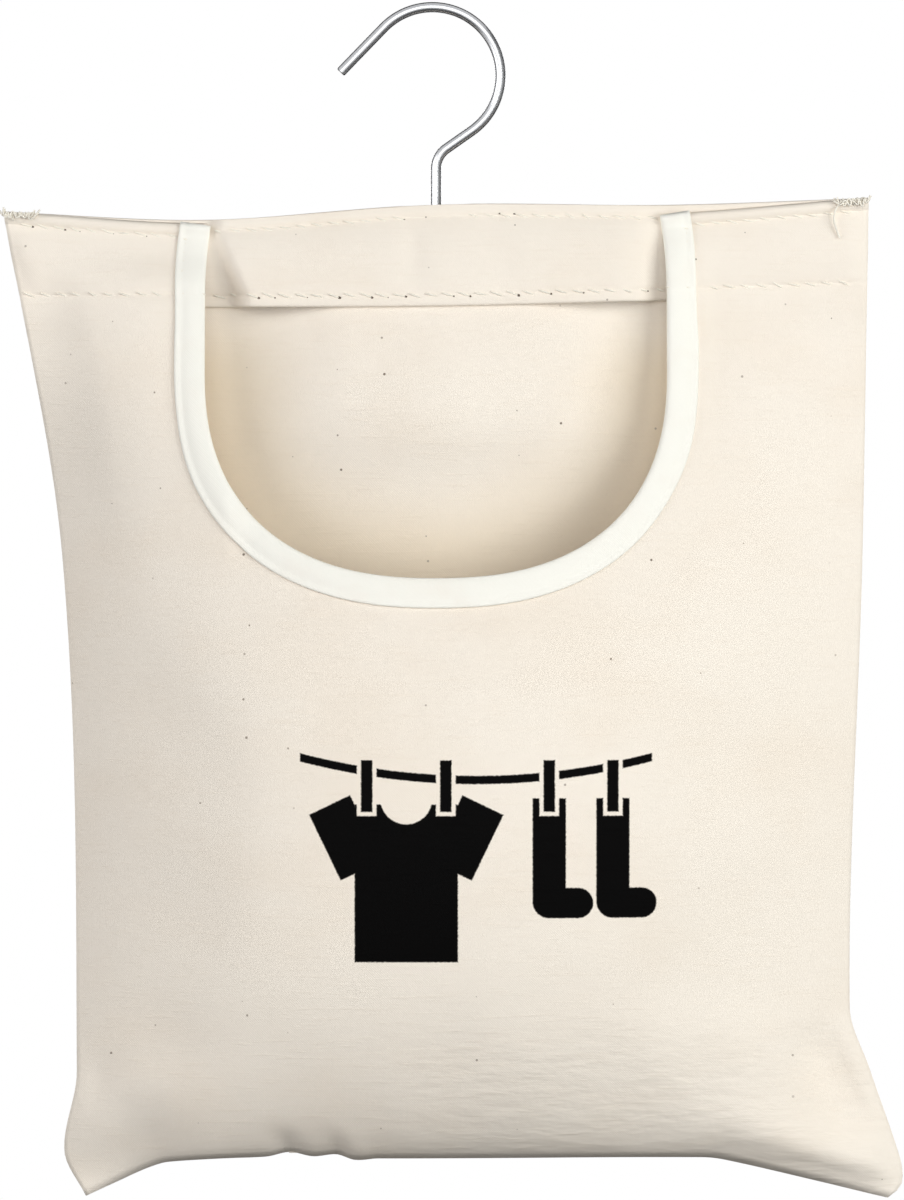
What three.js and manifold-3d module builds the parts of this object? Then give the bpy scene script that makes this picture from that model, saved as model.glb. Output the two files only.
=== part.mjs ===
// A cotton peg bag that hangs from a clothes line on a swivelling steel hook.
// Two canvas panels are sewn round three sides and turned. The front panel has a deep mouth with a
// bound edge, and the top is a stitched casing that holds a wooden bar, which the hook turns in.
// Millimetres, +Z up, +X to the right seen from the front, and the front faces -Y.
// The origin is where the inside of the hook's crown bears on the line.

import * as THREE from 'three';
import { LoftGeometry } from 'three/addons/geometries/LoftGeometry.js';
import { mergeVertices } from 'three/addons/utils/BufferGeometryUtils.js';
import Module from 'manifold-3d';

const wasm = await Module();
wasm.setup();

// Hook: one round steel wire, bent in the XZ plane and headed at its lower end
const wireDiameter = 3.5;
const crownRadius = 22.7; // to the wire's centreline
const crownToStem = 1.2; // from the crown's centre to the swivel axis, along +X
const tipStartDeg = 136; // round the crown from +X
const tipLength = 20.6;
const neckStartDeg = -55; // round the crown from +X
const neckRadius = 8; // to the wire's centreline
const hookRise = 64.5; // from the bag's top edge up to the line
const headDiameter = 6;
const headHeight = 1.4;

// Hanger bar: a round-edged batten with a bore for the hook and a flat seat for each washer
const barLength = 268;
const barHeight = 11;
const barThickness = 7;
const barDrop = 15.8; // from the bag's top edge down to the bar's middle
const washerDiameter = 6.4;
const washerThickness = 0.8;
const seatLength = 10;
const seatDepth = 1.2;
const turningGap = 0.3; // round the wire, in the bore and the washers
const restGap = 0.3; // between pieces that lie on each other

// Cloth, tape and thread
const clothThickness = 0.8;
const tapeThickness = 0.4;
const threadDiameter = 0.6;
const threadClear = 1.5; // from the end of a row of stitching to what it stops at
const seamGap = 0.3; // between the inner faces of two layers that are sewn together

// Panels, measured down and across from where the hook passes the top edge
const panelWidth = 288;
const panelHeight = 330.5;
const topLeftDip = 2.3; // how far the left corner hangs below the hook's gap
const topMouthDip = 5; // how far the top edge hangs at the mouth's left side
const topRightLift = 2.3; // how far the right corner stands above the hook's gap
const upperDrawDrop = 119;
const leftUpperDraw = 19.5; // how far the left side draws in at that drop
const leftDraw = 24.5; // and at the top of the ear
const leftEarFlare = 4.5;
const leftTipInset = 27;
const rightUpperDraw = 2;
const rightDraw = 6.5;
const rightEarFlare = 18;
const rightTipInset = -6.5;
const leftEarHeight = 42; // from the ear's tip up to where the side is narrowest
const rightEarHeight = 58;
const earBulgeHeight = 15; // from the ear's tip up to its widest place
const bottomRise = 14; // how far the bottom seam is drawn up between the ears
const leftEarWidth = 68;
const rightEarWidth = 56;
const frontBulge = 43;
const backBulge = 35;

// Casing: the tube for the bar between the back panel and the facing
const edgeStitchInset = 3.8;
const casingLeftDepth = 27.5; // from the top edge down to the lower stitching
const casingMiddleDepth = 30;
const casingRightDepth = 27.8;
const facingHem = 3; // cloth below the lower stitching
const casingSlack = 0.7; // round the bar
const hookGapReach = 9; // each way from the hook
const hookGapSlack = 0.75; // round the wire

// Mouth: straight sides and a squared half ellipse, measured at the binding's fold
const mouthWidth = 154;
const mouthStraight = 55; // from the top edge down to the ellipse
const mouthDepth = 124.5; // from the top edge down to the lip
const mouthSquareness = 2.3; // 2 is a true ellipse
const bindingWidth = 9;
const bindingStitchInset = 2;

// Overlocked seam allowances inside the bag
const seamInset = 3.5;
const seamAllowance = 7;
const seamThickness = 1.2;
const seamStand = 0.6; // from the bottom seam up to its allowance
const sideSeamDrop = 99; // from the top edge down to where there is room for a side seam's allowance
const sideSeamStop = 33; // from an ear's tip up to its lower end

// Overcast thread at the top corners
const tackLength = 9;
const tackHeight = 2.8;
const tackTurns = 4;

// Mesh density
const wireSides = 12;
const threadSides = 5;
const panelColumns = 18;
const casingRows = 10;
const bagRows = 20;
const mouthStations = 32; // round its half ellipse

const wireRadius = wireDiameter / 2;
const threadRadius = threadDiameter / 2;
const halfWidth = panelWidth / 2;
const mouthHalf = mouthWidth / 2;
const radians = THREE.MathUtils.degToRad;
const smoothstep = THREE.MathUtils.smoothstep;
const clamp = THREE.MathUtils.clamp;
const lerp = THREE.MathUtils.lerp;

const canvas = new THREE.MeshStandardMaterial({ color: 0xf0e6d6, roughness: 0.92, metalness: 0 });
const tape = new THREE.MeshStandardMaterial({ color: 0xfcfaf2, roughness: 0.8, metalness: 0 });
const thread = new THREE.MeshStandardMaterial({ color: 0xf3ead8, roughness: 0.85, metalness: 0 });
const steel = new THREE.MeshStandardMaterial({ color: 0xb9bcc0, roughness: 0.25, metalness: 1 });
const beech = new THREE.MeshStandardMaterial({ color: 0xd8b98c, roughness: 0.6, metalness: 0 });

// A smooth function through [at, value] points, level beyond its ends
function curveThrough(points) {
  const last = points.length - 1;
  const slopes = points.map((point, i) => {
    const before = points[Math.max(i - 1, 0)];
    const after = points[Math.min(i + 1, last)];
    return (after[1] - before[1]) / (after[0] - before[0]);
  });
  return (at) => {
    const x = clamp(at, points[0][0], points[last][0]);
    const i = clamp(points.findIndex((point) => point[0] >= x) - 1, 0, last - 1);
    const [x0, y0] = points[i];
    const [x1, y1] = points[i + 1];
    const span = x1 - x0;
    const s = (x - x0) / span;
    const rise = y1 - y0;
    const bend = slopes[i] * span * (1 - s) - slopes[i + 1] * span * s + rise * (2 * s - 1);
    return y0 + rise * s + s * (1 - s) * bend;
  };
}

// Outline of a sewn panel
const leftInset = curveThrough([
  [0, 0],
  [upperDrawDrop, leftUpperDraw],
  [panelHeight - leftEarHeight, leftDraw],
  [panelHeight - earBulgeHeight, leftDraw - leftEarFlare],
  [panelHeight, leftTipInset],
]);
const rightInset = curveThrough([
  [0, 0],
  [upperDrawDrop, rightUpperDraw],
  [panelHeight - rightEarHeight, rightDraw],
  [panelHeight - earBulgeHeight, rightDraw - rightEarFlare],
  [panelHeight, rightTipInset],
]);
const leftTip = leftTipInset - halfWidth;
const rightTip = halfWidth - rightTipInset;
const bottomLift = curveThrough([
  [leftTip, 0],
  [leftTip + leftEarWidth / 3, bottomRise * 0.68],
  [leftTip + leftEarWidth * 0.63, bottomRise * 0.87],
  [leftTip + leftEarWidth, bottomRise],
  [rightTip - rightEarWidth, bottomRise],
  [rightTip - rightEarWidth / 2, bottomRise * 0.6],
  [rightTip, 0],
]);
const topEdge = curveThrough([
  [-halfWidth, -topLeftDip],
  [-mouthHalf, -topMouthDip],
  [0, 0],
  [mouthHalf, 0],
  [halfWidth, topRightLift],
]);
const casingStitch = curveThrough([
  [-halfWidth, -topLeftDip - casingLeftDepth],
  [0, -casingMiddleDepth],
  [halfWidth, topRightLift - casingRightDepth],
]);

// Shares of a panel's height at the casing's two rows of stitching and at the facing's lower edge
const edgeRow = edgeStitchInset / panelHeight;
const stitchRow = casingMiddleDepth / panelHeight;
const hemRow = (casingMiddleDepth + facingHem) / panelHeight;

// A place in the panel's outline: u runs from its left side to its right and v from its top edge down
function patchPoint(u, v) {
  const topX = lerp(-halfWidth, halfWidth, u);
  const bottomX = lerp(leftTip, rightTip, u);
  const leftX = leftInset(v * panelHeight) - halfWidth;
  const rightX = halfWidth - rightInset(v * panelHeight);
  const top = topEdge(topX);
  const bottom = bottomLift(bottomX) - panelHeight;
  return { x: lerp(leftX, rightX, u), z: lerp(top, bottom, v) };
}

// The same patch with one of its rows moved onto the casing's lower stitching
function outlinePoint(u, v) {
  const { x, z } = patchPoint(u, v);
  const row = patchPoint(u, stitchRow);
  const share = v < stitchRow ? v / stitchRow : (1 - v) / (1 - stitchRow);
  return { x, z: z + share * (casingStitch(row.x) - row.z) };
}

// The patch's u and v at a place, by a few correcting steps
function locate(x, z) {
  let u = 0.5;
  let v = 0.5;
  for (let step = 0; step < 24; step += 1) {
    const at = outlinePoint(u, v);
    u = clamp(u + (x - at.x) / panelWidth, 0, 1);
    v = clamp(v - (z - at.z) / panelHeight, 0, 1);
  }
  return { u, v };
}

// How far a filled bag swells between the casing and the bottom seam, from 0 to 1
const swellEase = 2.2;
const swellPeak = 0.816; // the largest value of what it divides
function swell(u, v) {
  const down = clamp((v - stitchRow) / (1 - stitchRow), 0, 1);
  const across = 1 - (2 * u - 1) ** 2;
  return (across * (1 - (1 - down) ** swellEase) * Math.sqrt(1 - down ** 4)) / swellPeak;
}

// Half the room between the casing's two layers: open for the wire at the top and for the bar below
const barRoom = barThickness / 2 + casingSlack;
const casingFull = barLength / 2 + (halfWidth - barLength / 2) * 0.25;
function casingRoom(x, v) {
  const down = clamp((v - edgeRow) / (stitchRow - edgeRow), 0, 1);
  const overBar = 1 - (2 * down - 1) ** 4;
  const besideBar = 1 - smoothstep(Math.abs(x), casingFull, halfWidth);
  const reach = clamp(Math.abs(x) / hookGapReach, 0, 1);
  const hookGap = (wireRadius + hookGapSlack) * Math.cos((reach * Math.PI) / 2) ** 2;
  const closed = seamGap / 2 + (down < 0.5 ? hookGap : 0);
  return lerp(closed, barRoom, overBar * besideBar);
}

// The inner face of each layer of cloth, as a point above u and v
const tapeRoom = tapeThickness + 2 * restGap;
function backInner(u, v) {
  const { x, z } = outlinePoint(u, v);
  return new THREE.Vector3(x, casingRoom(x, v) + backBulge * swell(u, v), z);
}
function facingInner(u, v) {
  const { x, z } = outlinePoint(u, v);
  return new THREE.Vector3(x, -casingRoom(x, v), z);
}
function frontInner(u, v) {
  const { x, z } = outlinePoint(u, v);
  const overFacing = 1 - smoothstep(v, hemRow, hemRow + stitchRow / 2);
  const lift = overFacing * (clothThickness + tapeRoom);
  return new THREE.Vector3(x, -casingRoom(x, v) - lift - frontBulge * swell(u, v), z);
}

// A layer's face moved out, straight across in the casing, where layers lie on each other, and along
// its normal below it. The side is -1 for cloth that faces the front and 1 for the back.
function offsetFace(face, side, u, v, distance) {
  const step = 0.002;
  const across = face(Math.min(u + step, 1), v).sub(face(Math.max(u - step, 0), v));
  const down = face(u, Math.min(v + step, 1)).sub(face(u, Math.max(v - step, 0)));
  const normal = across.cross(down).normalize();
  if (normal.y * side < 0) normal.negate();
  const free = smoothstep(v, hemRow, hemRow + stitchRow / 2);
  const outward = new THREE.Vector3(0, side, 0).lerp(normal, free).normalize();
  return face(u, v).addScaledVector(outward, distance);
}

// A point at a height above the front panel's or the facing's inner face
function onFront(x, z, height) {
  const { u, v } = locate(x, z);
  return offsetFace(frontInner, -1, u, v, height);
}
function onFacing(x, z, height) {
  const { u, v } = locate(x, z);
  return offsetFace(facingInner, -1, u, v, height);
}

// Columns across a panel: even between the bar's ends, but closer together round the hook's gap
const gapColumns = [-1, -0.6, -0.25, 0, 0.25, 0.6, 1].map((k) => 0.5 + (k * hookGapReach) / panelWidth);
const barEnd = 0.5 - casingFull / panelWidth;
const evenColumns = Array.from({ length: panelColumns + 1 }, (_, i) =>
  lerp(barEnd, 1 - barEnd, i / panelColumns),
);
const clearOfGap = evenColumns.filter((u) => Math.abs(u - 0.5) > (hookGapReach * 1.4) / panelWidth);
const columns = [0, ...clearOfGap, ...gapColumns, 1].sort((a, b) => a - b);

// Rows down the casing, and below it to the bottom seam, closer together where the cloth turns
const casingLevels = [
  0,
  ...Array.from({ length: casingRows + 1 }, (_, i) => lerp(edgeRow, stitchRow, i / casingRows)),
  hemRow,
];
const bagLevels = Array.from({ length: bagRows }, (_, i) => {
  const even = (i + 1) / bagRows;
  const closeAtEnds = (1 - Math.cos(even * Math.PI)) / 2;
  return lerp(hemRow, 1, lerp(even, closeAtEnds, 0.8));
});
const panelRows = [...casingLevels, ...bagLevels];

// A closed body between two faces of the same rows and columns. The outer face's rows run down and
// its columns to the right seen from outside, or to the left where it is mirrored.
function bodyBetween(inner, outer, mirrored) {
  const rows = inner.length;
  const across = inner[0].length;
  const near = (r, c) => r * across + c;
  const far = (r, c) => rows * across + near(r, c);
  const quads = [];
  for (let r = 0; r + 1 < rows; r += 1) {
    for (let c = 0; c + 1 < across; c += 1) {
      quads.push([far(r, c), far(r + 1, c), far(r + 1, c + 1), far(r, c + 1)]);
      quads.push([near(r, c), near(r, c + 1), near(r + 1, c + 1), near(r + 1, c)]);
    }
    const end = across - 1;
    quads.push([far(r + 1, 0), far(r, 0), near(r, 0), near(r + 1, 0)]);
    quads.push([far(r, end), far(r + 1, end), near(r + 1, end), near(r, end)]);
  }
  for (let c = 0; c + 1 < across; c += 1) {
    const end = rows - 1;
    quads.push([far(0, c), far(0, c + 1), near(0, c + 1), near(0, c)]);
    quads.push([far(end, c + 1), far(end, c), near(end, c), near(end, c + 1)]);
  }
  const triangles = quads.flatMap(([a, b, c, d]) => (mirrored ? [a, c, b, a, d, c] : [a, b, c, a, c, d]));
  return new THREE.BufferGeometry().setFromPoints([...inner.flat(), ...outer.flat()]).setIndex(triangles);
}

// A sheet of cloth between a layer's inner face and the same face moved out by its thickness
function clothSheet(face, side, rows, thickness) {
  const inner = rows.map((v) => columns.map((u) => face(u, v)));
  const outer = rows.map((v) => columns.map((u) => offsetFace(face, side, u, v, thickness)));
  return bodyBetween(inner, outer, side > 0);
}

// A round wire or thread through points, none of whose stretches runs along Y.
// A point's own radius, where it has one, swells the wire there.
function roundWire(points, radius, sides) {
  const along = new THREE.Vector3();
  const sideways = new THREE.Vector3();
  const upward = new THREE.Vector3();
  const sections = points.map((point, i) => {
    const before = points[Math.max(i - 1, 0)];
    const after = points[Math.min(i + 1, points.length - 1)];
    along.subVectors(after, before).normalize();
    sideways.set(0, 1, 0).cross(along).normalize();
    upward.crossVectors(along, sideways);
    return Array.from({ length: sides }, (_, k) => {
      const turn = (k / sides) * 2 * Math.PI;
      return point
        .clone()
        .addScaledVector(sideways, (point.swollen ?? radius) * Math.cos(turn))
        .addScaledVector(upward, (point.swollen ?? radius) * Math.sin(turn));
    });
  });
  return new LoftGeometry(sections, { capStart: true, capEnd: true });
}

// Joins and cuts
function toSolid(geometry) {
  const plain = (geometry.index ? geometry.toNonIndexed() : geometry).clone();
  plain.deleteAttribute('normal');
  plain.deleteAttribute('uv');
  const merged = mergeVertices(plain, 1e-4);
  const mesh = new wasm.Mesh({
    numProp: 3,
    vertProperties: merged.attributes.position.array,
    triVerts: new Uint32Array(merged.index.array),
  });
  return new wasm.Manifold(mesh);
}
function toGeometry(solid) {
  const mesh = solid.getMesh();
  return new THREE.BufferGeometry()
    .setAttribute('position', new THREE.BufferAttribute(mesh.vertProperties, 3))
    .setIndex(new THREE.BufferAttribute(mesh.triVerts, 1));
}
function uprightCylinder(diameter, height, x, z) {
  return new THREE.CylinderGeometry(diameter / 2, diameter / 2, height, 24)
    .rotateX(Math.PI / 2)
    .translate(x, 0, z);
}

// Heights of the hanger's pieces, from the bag's top edge
const barTop = -barDrop + barHeight / 2;
const barBottom = -barDrop - barHeight / 2;
const upperSeat = barTop - seatDepth;
const lowerSeat = barBottom + seatDepth;
const lowerWasherBottom = lowerSeat - restGap - washerThickness;
const stemEnd = lowerWasherBottom - restGap;
const boreDiameter = wireDiameter + 2 * turningGap;

// The hook's centreline, from the tip round the crown and down the stem
function hookGeometry() {
  const centre = new THREE.Vector2(0, -(crownRadius - wireRadius));
  const onCrown = (deg) =>
    new THREE.Vector2(Math.cos(radians(deg)), Math.sin(radians(deg))).multiplyScalar(crownRadius).add(centre);
  const tipWay = new THREE.Vector2(-Math.sin(radians(tipStartDeg)), Math.cos(radians(tipStartDeg)));
  const tip = onCrown(tipStartDeg).addScaledVector(tipWay, tipLength);
  const neckWay = new THREE.Vector2(Math.sin(radians(neckStartDeg)), -Math.cos(radians(neckStartDeg)));
  const neckTop = onCrown(neckStartDeg);
  const neckTurn = -radians(neckStartDeg);
  const toCorner = (crownToStem - neckTop.x) / neckWay.x;
  const corner = neckTop.clone().addScaledVector(neckWay, toCorner);
  const neckCentre = new THREE.Vector2(
    crownToStem + neckRadius,
    corner.y - neckRadius * Math.tan(neckTurn / 2),
  );
  const line = [tip];
  const crownSteps = 26;
  for (let i = 0; i <= crownSteps; i += 1) {
    line.push(onCrown(lerp(tipStartDeg, neckStartDeg, i / crownSteps)));
  }
  const neckSteps = 8;
  for (let i = 0; i <= neckSteps; i += 1) {
    const turn = Math.PI - neckTurn * (1 - i / neckSteps);
    line.push(new THREE.Vector2(Math.cos(turn), Math.sin(turn)).multiplyScalar(neckRadius).add(neckCentre));
  }
  const points = line.map((p) => new THREE.Vector3(p.x, 0, p.y));
  const stemBottom = stemEnd - hookRise;
  points.push(new THREE.Vector3(crownToStem, 0, stemBottom));
  const headTop = new THREE.Vector3(crownToStem, 0, stemBottom);
  headTop.swollen = headDiameter / 2;
  const headBottom = new THREE.Vector3(crownToStem, 0, stemBottom - headHeight);
  headBottom.swollen = headDiameter / 2;
  points.push(headTop, headBottom);
  return roundWire(points, wireRadius, wireSides);
}

function barGeometry() {
  const round = barThickness / 2;
  const straight = barHeight / 2 - round;
  const section = new THREE.Shape()
    .moveTo(-round, -straight)
    .absarc(0, -straight, round, Math.PI, 2 * Math.PI)
    .lineTo(round, straight)
    .absarc(0, straight, round, 0, Math.PI)
    .closePath();
  const extrusion = { depth: barLength, bevelEnabled: false, curveSegments: 8 };
  const batten = new THREE.ExtrudeGeometry(section, extrusion)
    .rotateX(Math.PI / 2)
    .rotateZ(Math.PI / 2)
    .translate(-barLength / 2, 0, -barDrop);
  const bore = uprightCylinder(boreDiameter, barHeight * 2, 0, -barDrop);
  const seat = (z) => new THREE.BoxGeometry(seatLength, barThickness * 2, seatDepth * 2).translate(0, 0, z);
  const cut = toSolid(batten).subtract(toSolid(bore)).subtract(toSolid(seat(barTop)));
  return toGeometry(cut.subtract(toSolid(seat(barBottom))));
}

function washerGeometry(bottom) {
  const middle = bottom + washerThickness / 2;
  const disc = toSolid(uprightCylinder(washerDiameter, washerThickness, 0, middle));
  return toGeometry(disc.subtract(toSolid(uprightCylinder(boreDiameter, washerThickness * 2, 0, middle))));
}

// The mouth's rounded part in the cloth, from its left side to its right, as points and outward ways
const foldDepth = restGap + tapeThickness;
const cutHalf = mouthHalf + foldDepth;
const cutLip = mouthDepth - mouthStraight + foldDepth;
const mouthRound = Array.from({ length: mouthStations + 1 }, (_, i) => {
  const turn = Math.PI * (1 + i / mouthStations);
  const cos = Math.cos(turn);
  const sin = Math.sin(turn);
  const squared = (k, power) => Math.sign(k) * Math.abs(k) ** power;
  const point = new THREE.Vector2(
    cutHalf * squared(cos, 2 / mouthSquareness),
    cutLip * squared(sin, 2 / mouthSquareness) - mouthStraight,
  );
  const into = new THREE.Vector2(
    squared(cos, 2 - 2 / mouthSquareness) / cutHalf,
    squared(sin, 2 - 2 / mouthSquareness) / cutLip,
  ).normalize();
  return { point, into };
});

function frontGeometry() {
  const sheet = toSolid(clothSheet(frontInner, -1, panelRows, clothThickness));
  const cut = new THREE.Shape([
    new THREE.Vector2(-cutHalf, barHeight),
    ...mouthRound.map(({ point }) => point),
    new THREE.Vector2(cutHalf, barHeight),
  ]);
  const reach = 2 * (frontBulge + barThickness);
  const cutter = new THREE.ExtrudeGeometry(cut, { depth: reach, bevelEnabled: false })
    .rotateX(Math.PI / 2)
    .translate(0, reach / 2, 0);
  return toGeometry(sheet.subtract(toSolid(cutter)));
}

// Places along the mouth's edge, from its top left to its top right, each as a function that gives
// the point at a distance into the cloth and a height above the panel's inner face.
// The straight sides take the panel's own rows, so that tape and cloth bend at the same places.
function mouthPlaces(topRow) {
  const aboveRound = (v) => outlinePoint(0.5, v).z > threadClear - mouthStraight;
  const straightRows = panelRows.filter((v) => v >= topRow && aboveRound(v));
  const straight = (side) =>
    straightRows.map((v) => (into, height) => {
      const x = side * (cutHalf + into);
      let u = 0.5;
      for (let step = 0; step < 12; step += 1) u += (x - outlinePoint(u, v).x) / panelWidth;
      return offsetFace(frontInner, -1, u, v, height);
    });
  const round = mouthRound.map(({ point, into }) => (distance, height) =>
    onFront(point.x + into.x * distance, point.y + into.y * distance, height),
  );
  return [...straight(-1), ...round, ...straight(1).reverse()];
}

// The tape folded over the mouth's edge: a narrow U in section
function bindingGeometry() {
  const frontNear = clothThickness + restGap;
  const frontFar = frontNear + tapeThickness;
  const backNear = -restGap;
  const backFar = backNear - tapeThickness;
  const wide = bindingWidth - foldDepth;
  const outside = [
    [wide, frontFar], [wide / 2, frontFar], [-foldDepth, frontFar],
    [-foldDepth, backFar], [wide / 2, backFar], [wide, backFar],
  ];
  const inside = [
    [wide, frontNear], [wide / 2, frontNear], [-restGap, frontNear],
    [-restGap, backNear], [wide / 2, backNear], [wide, backNear],
  ];
  const places = mouthPlaces(0);
  const face = (section) => places.map((place) => section.map(([into, height]) => place(into, height)));
  return bodyBetween(face(inside), face(outside), false);
}

const onTape = clothThickness + 2 * restGap + tapeThickness + threadRadius;
const onCloth = clothThickness + restGap + threadRadius;

function bindingStitchGeometry() {
  const inset = bindingWidth - foldDepth - bindingStitchInset;
  const points = mouthPlaces(edgeRow + threadClear / panelHeight).map((place) => place(inset, onTape));
  return roundWire(points, threadRadius, threadSides);
}

// The edge stitching on one side: over the shoulder and the binding, then along the facing to the hook
function edgeStitchGeometry(side) {
  const level = (x) => topEdge(x) - edgeStitchInset;
  const bindingEdge = mouthHalf + bindingWidth;
  const steps = 8;
  const points = [];
  for (let i = 0; i <= steps; i += 1) {
    const x = side * lerp(halfWidth - tackLength - threadClear, bindingEdge + threadClear, i / steps);
    points.push(onFront(x, level(x), onCloth));
  }
  for (const x of [bindingEdge - threadClear, mouthHalf + bindingWidth / 2, mouthHalf]) {
    points.push(onFront(side * x, level(side * x), onTape));
  }
  for (let i = 0; i <= steps; i += 1) {
    const x = side * lerp(mouthHalf - 2 * threadClear, hookGapReach, i / steps);
    points.push(onFacing(x, level(x), onCloth));
  }
  return roundWire(points, threadRadius, threadSides);
}

// The casing's lower stitching: on a shoulder, or on the facing across the mouth
const shoulderStart = mouthHalf + bindingWidth + threadClear;
const shoulderEnd = halfWidth - tackLength;
const facingReach = mouthHalf - threadClear;
function casingStitchGeometry(from, to, place) {
  const steps = 12;
  const points = Array.from({ length: steps + 1 }, (_, i) => {
    const x = lerp(from, to, i / steps);
    return place(x, casingStitch(x), onCloth);
  });
  return roundWire(points, threadRadius, threadSides);
}

// Overcast thread at a top corner, zigzagging down from the edge
function cornerTackGeometry(side) {
  const points = [];
  for (let i = 0; i <= 2 * tackTurns; i += 1) {
    const x = side * (halfWidth - clothThickness - (tackLength * i) / (2 * tackTurns));
    const z = topEdge(x) - clothThickness - (i % 2) * tackHeight;
    points.push(onFront(x, z, onCloth));
  }
  return roundWire(points, threadRadius, threadSides);
}

// An overlocked side seam, lying on the back panel's inner face
function sideSeamGeometry(side) {
  const steps = 18;
  const inset = [seamInset, seamInset + seamAllowance].map((distance) => distance / panelWidth);
  const sides = side < 0 ? inset : inset.map((u) => 1 - u).reverse();
  const levels = Array.from(
    { length: steps + 1 },
    (_, i) => lerp(sideSeamDrop, panelHeight - sideSeamStop, i / steps) / panelHeight,
  );
  const face = (height) => levels.map((v) => sides.map((u) => offsetFace(backInner, 1, u, v, height)));
  return bodyBetween(face(-restGap), face(-restGap - seamThickness), false);
}

// The overlocked bottom seam, standing up inside the bag between the ears
function bottomSeamGeometry() {
  const steps = 16;
  const places = Array.from({ length: steps + 1 }, (_, i) =>
    lerp(leftTip + leftEarWidth, rightTip - rightEarWidth, i / steps),
  );
  const face = (y) =>
    [seamStand + seamAllowance, seamStand].map((height) =>
      places.map((x) => new THREE.Vector3(x, y, bottomLift(x) - panelHeight + height)),
    );
  return bodyBetween(face(seamThickness / 2), face(-seamThickness / 2), false);
}

function named(name, geometry, material) {
  const mesh = new THREE.Mesh(geometry, material);
  mesh.name = name;
  return mesh;
}

// The bag hangs below the hook, with its own origin where the hook passes the top edge
const bag = new THREE.Group();
bag.position.set(crownToStem, 0, -hookRise);
bag.add(
  named('hanger_bar', barGeometry(), beech),
  named('upper_washer', washerGeometry(upperSeat + restGap), steel),
  named('lower_washer', washerGeometry(lowerWasherBottom), steel),
  named('back_panel', clothSheet(backInner, 1, panelRows, clothThickness), canvas),
  named('front_panel', frontGeometry(), canvas),
  named('casing_facing', clothSheet(facingInner, -1, casingLevels, clothThickness), canvas),
  named('mouth_binding', bindingGeometry(), tape),
  named('binding_stitch', bindingStitchGeometry(), thread),
  named('edge_stitch_left', edgeStitchGeometry(-1), thread),
  named('edge_stitch_right', edgeStitchGeometry(1), thread),
  named('casing_stitch_left', casingStitchGeometry(-shoulderEnd, -shoulderStart, onFront), thread),
  named('casing_stitch_middle', casingStitchGeometry(-facingReach, facingReach, onFacing), thread),
  named('casing_stitch_right', casingStitchGeometry(shoulderStart, shoulderEnd, onFront), thread),
  named('left_corner_tack', cornerTackGeometry(-1), thread),
  named('right_corner_tack', cornerTackGeometry(1), thread),
  named('left_seam_overlock', sideSeamGeometry(-1), thread),
  named('right_seam_overlock', sideSeamGeometry(1), thread),
  named('bottom_seam_overlock', bottomSeamGeometry(), thread),
);

const pegBag = new THREE.Group();
pegBag.add(named('hook', hookGeometry(), steel), bag);

export default pegBag;
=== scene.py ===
# %% [markdown]
# # A cotton peg bag on a swivelling hook
# The real bag is two panels of unbleached calico, sewn round three sides and turned, with a casing along
# the top for a wooden bar. A steel hook turns in that bar. The frame brings in the plain solids, and each
# cell below dresses one of them: first its shape, then its finish.

# %% Load the frame
import math

import bmesh
import bpy
import numpy as np
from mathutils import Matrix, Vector


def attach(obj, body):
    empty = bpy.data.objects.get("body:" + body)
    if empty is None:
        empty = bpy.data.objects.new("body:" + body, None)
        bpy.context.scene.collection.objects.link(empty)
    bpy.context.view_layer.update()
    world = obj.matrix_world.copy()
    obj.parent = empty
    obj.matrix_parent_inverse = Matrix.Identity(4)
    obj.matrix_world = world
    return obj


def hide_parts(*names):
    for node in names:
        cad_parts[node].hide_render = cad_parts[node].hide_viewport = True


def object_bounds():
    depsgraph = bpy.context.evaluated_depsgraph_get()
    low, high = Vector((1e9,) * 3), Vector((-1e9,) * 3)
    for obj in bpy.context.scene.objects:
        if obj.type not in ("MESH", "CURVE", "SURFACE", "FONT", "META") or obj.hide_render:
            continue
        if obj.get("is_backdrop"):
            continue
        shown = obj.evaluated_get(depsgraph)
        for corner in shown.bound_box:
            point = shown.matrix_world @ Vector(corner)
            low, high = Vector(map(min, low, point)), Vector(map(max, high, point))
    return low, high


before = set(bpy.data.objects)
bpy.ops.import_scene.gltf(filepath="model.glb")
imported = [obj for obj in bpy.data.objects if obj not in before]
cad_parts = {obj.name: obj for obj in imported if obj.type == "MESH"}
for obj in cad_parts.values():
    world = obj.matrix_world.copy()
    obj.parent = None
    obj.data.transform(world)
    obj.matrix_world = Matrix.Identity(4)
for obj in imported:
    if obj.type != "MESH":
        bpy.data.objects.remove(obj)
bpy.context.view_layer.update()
scene = bpy.context.scene
bpy.ops.object.select_all(action="DESELECT")
MM = 0.001

# %% [markdown]
# ## Camera
# The photograph looks straight at the front from far away, so that left and right show no perspective. A
# long lens three metres off does the same. On the picture three pixels are one millimetre, and the place
# where the hook bears on the line is the origin, so the frame's size and centre follow from these.

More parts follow.
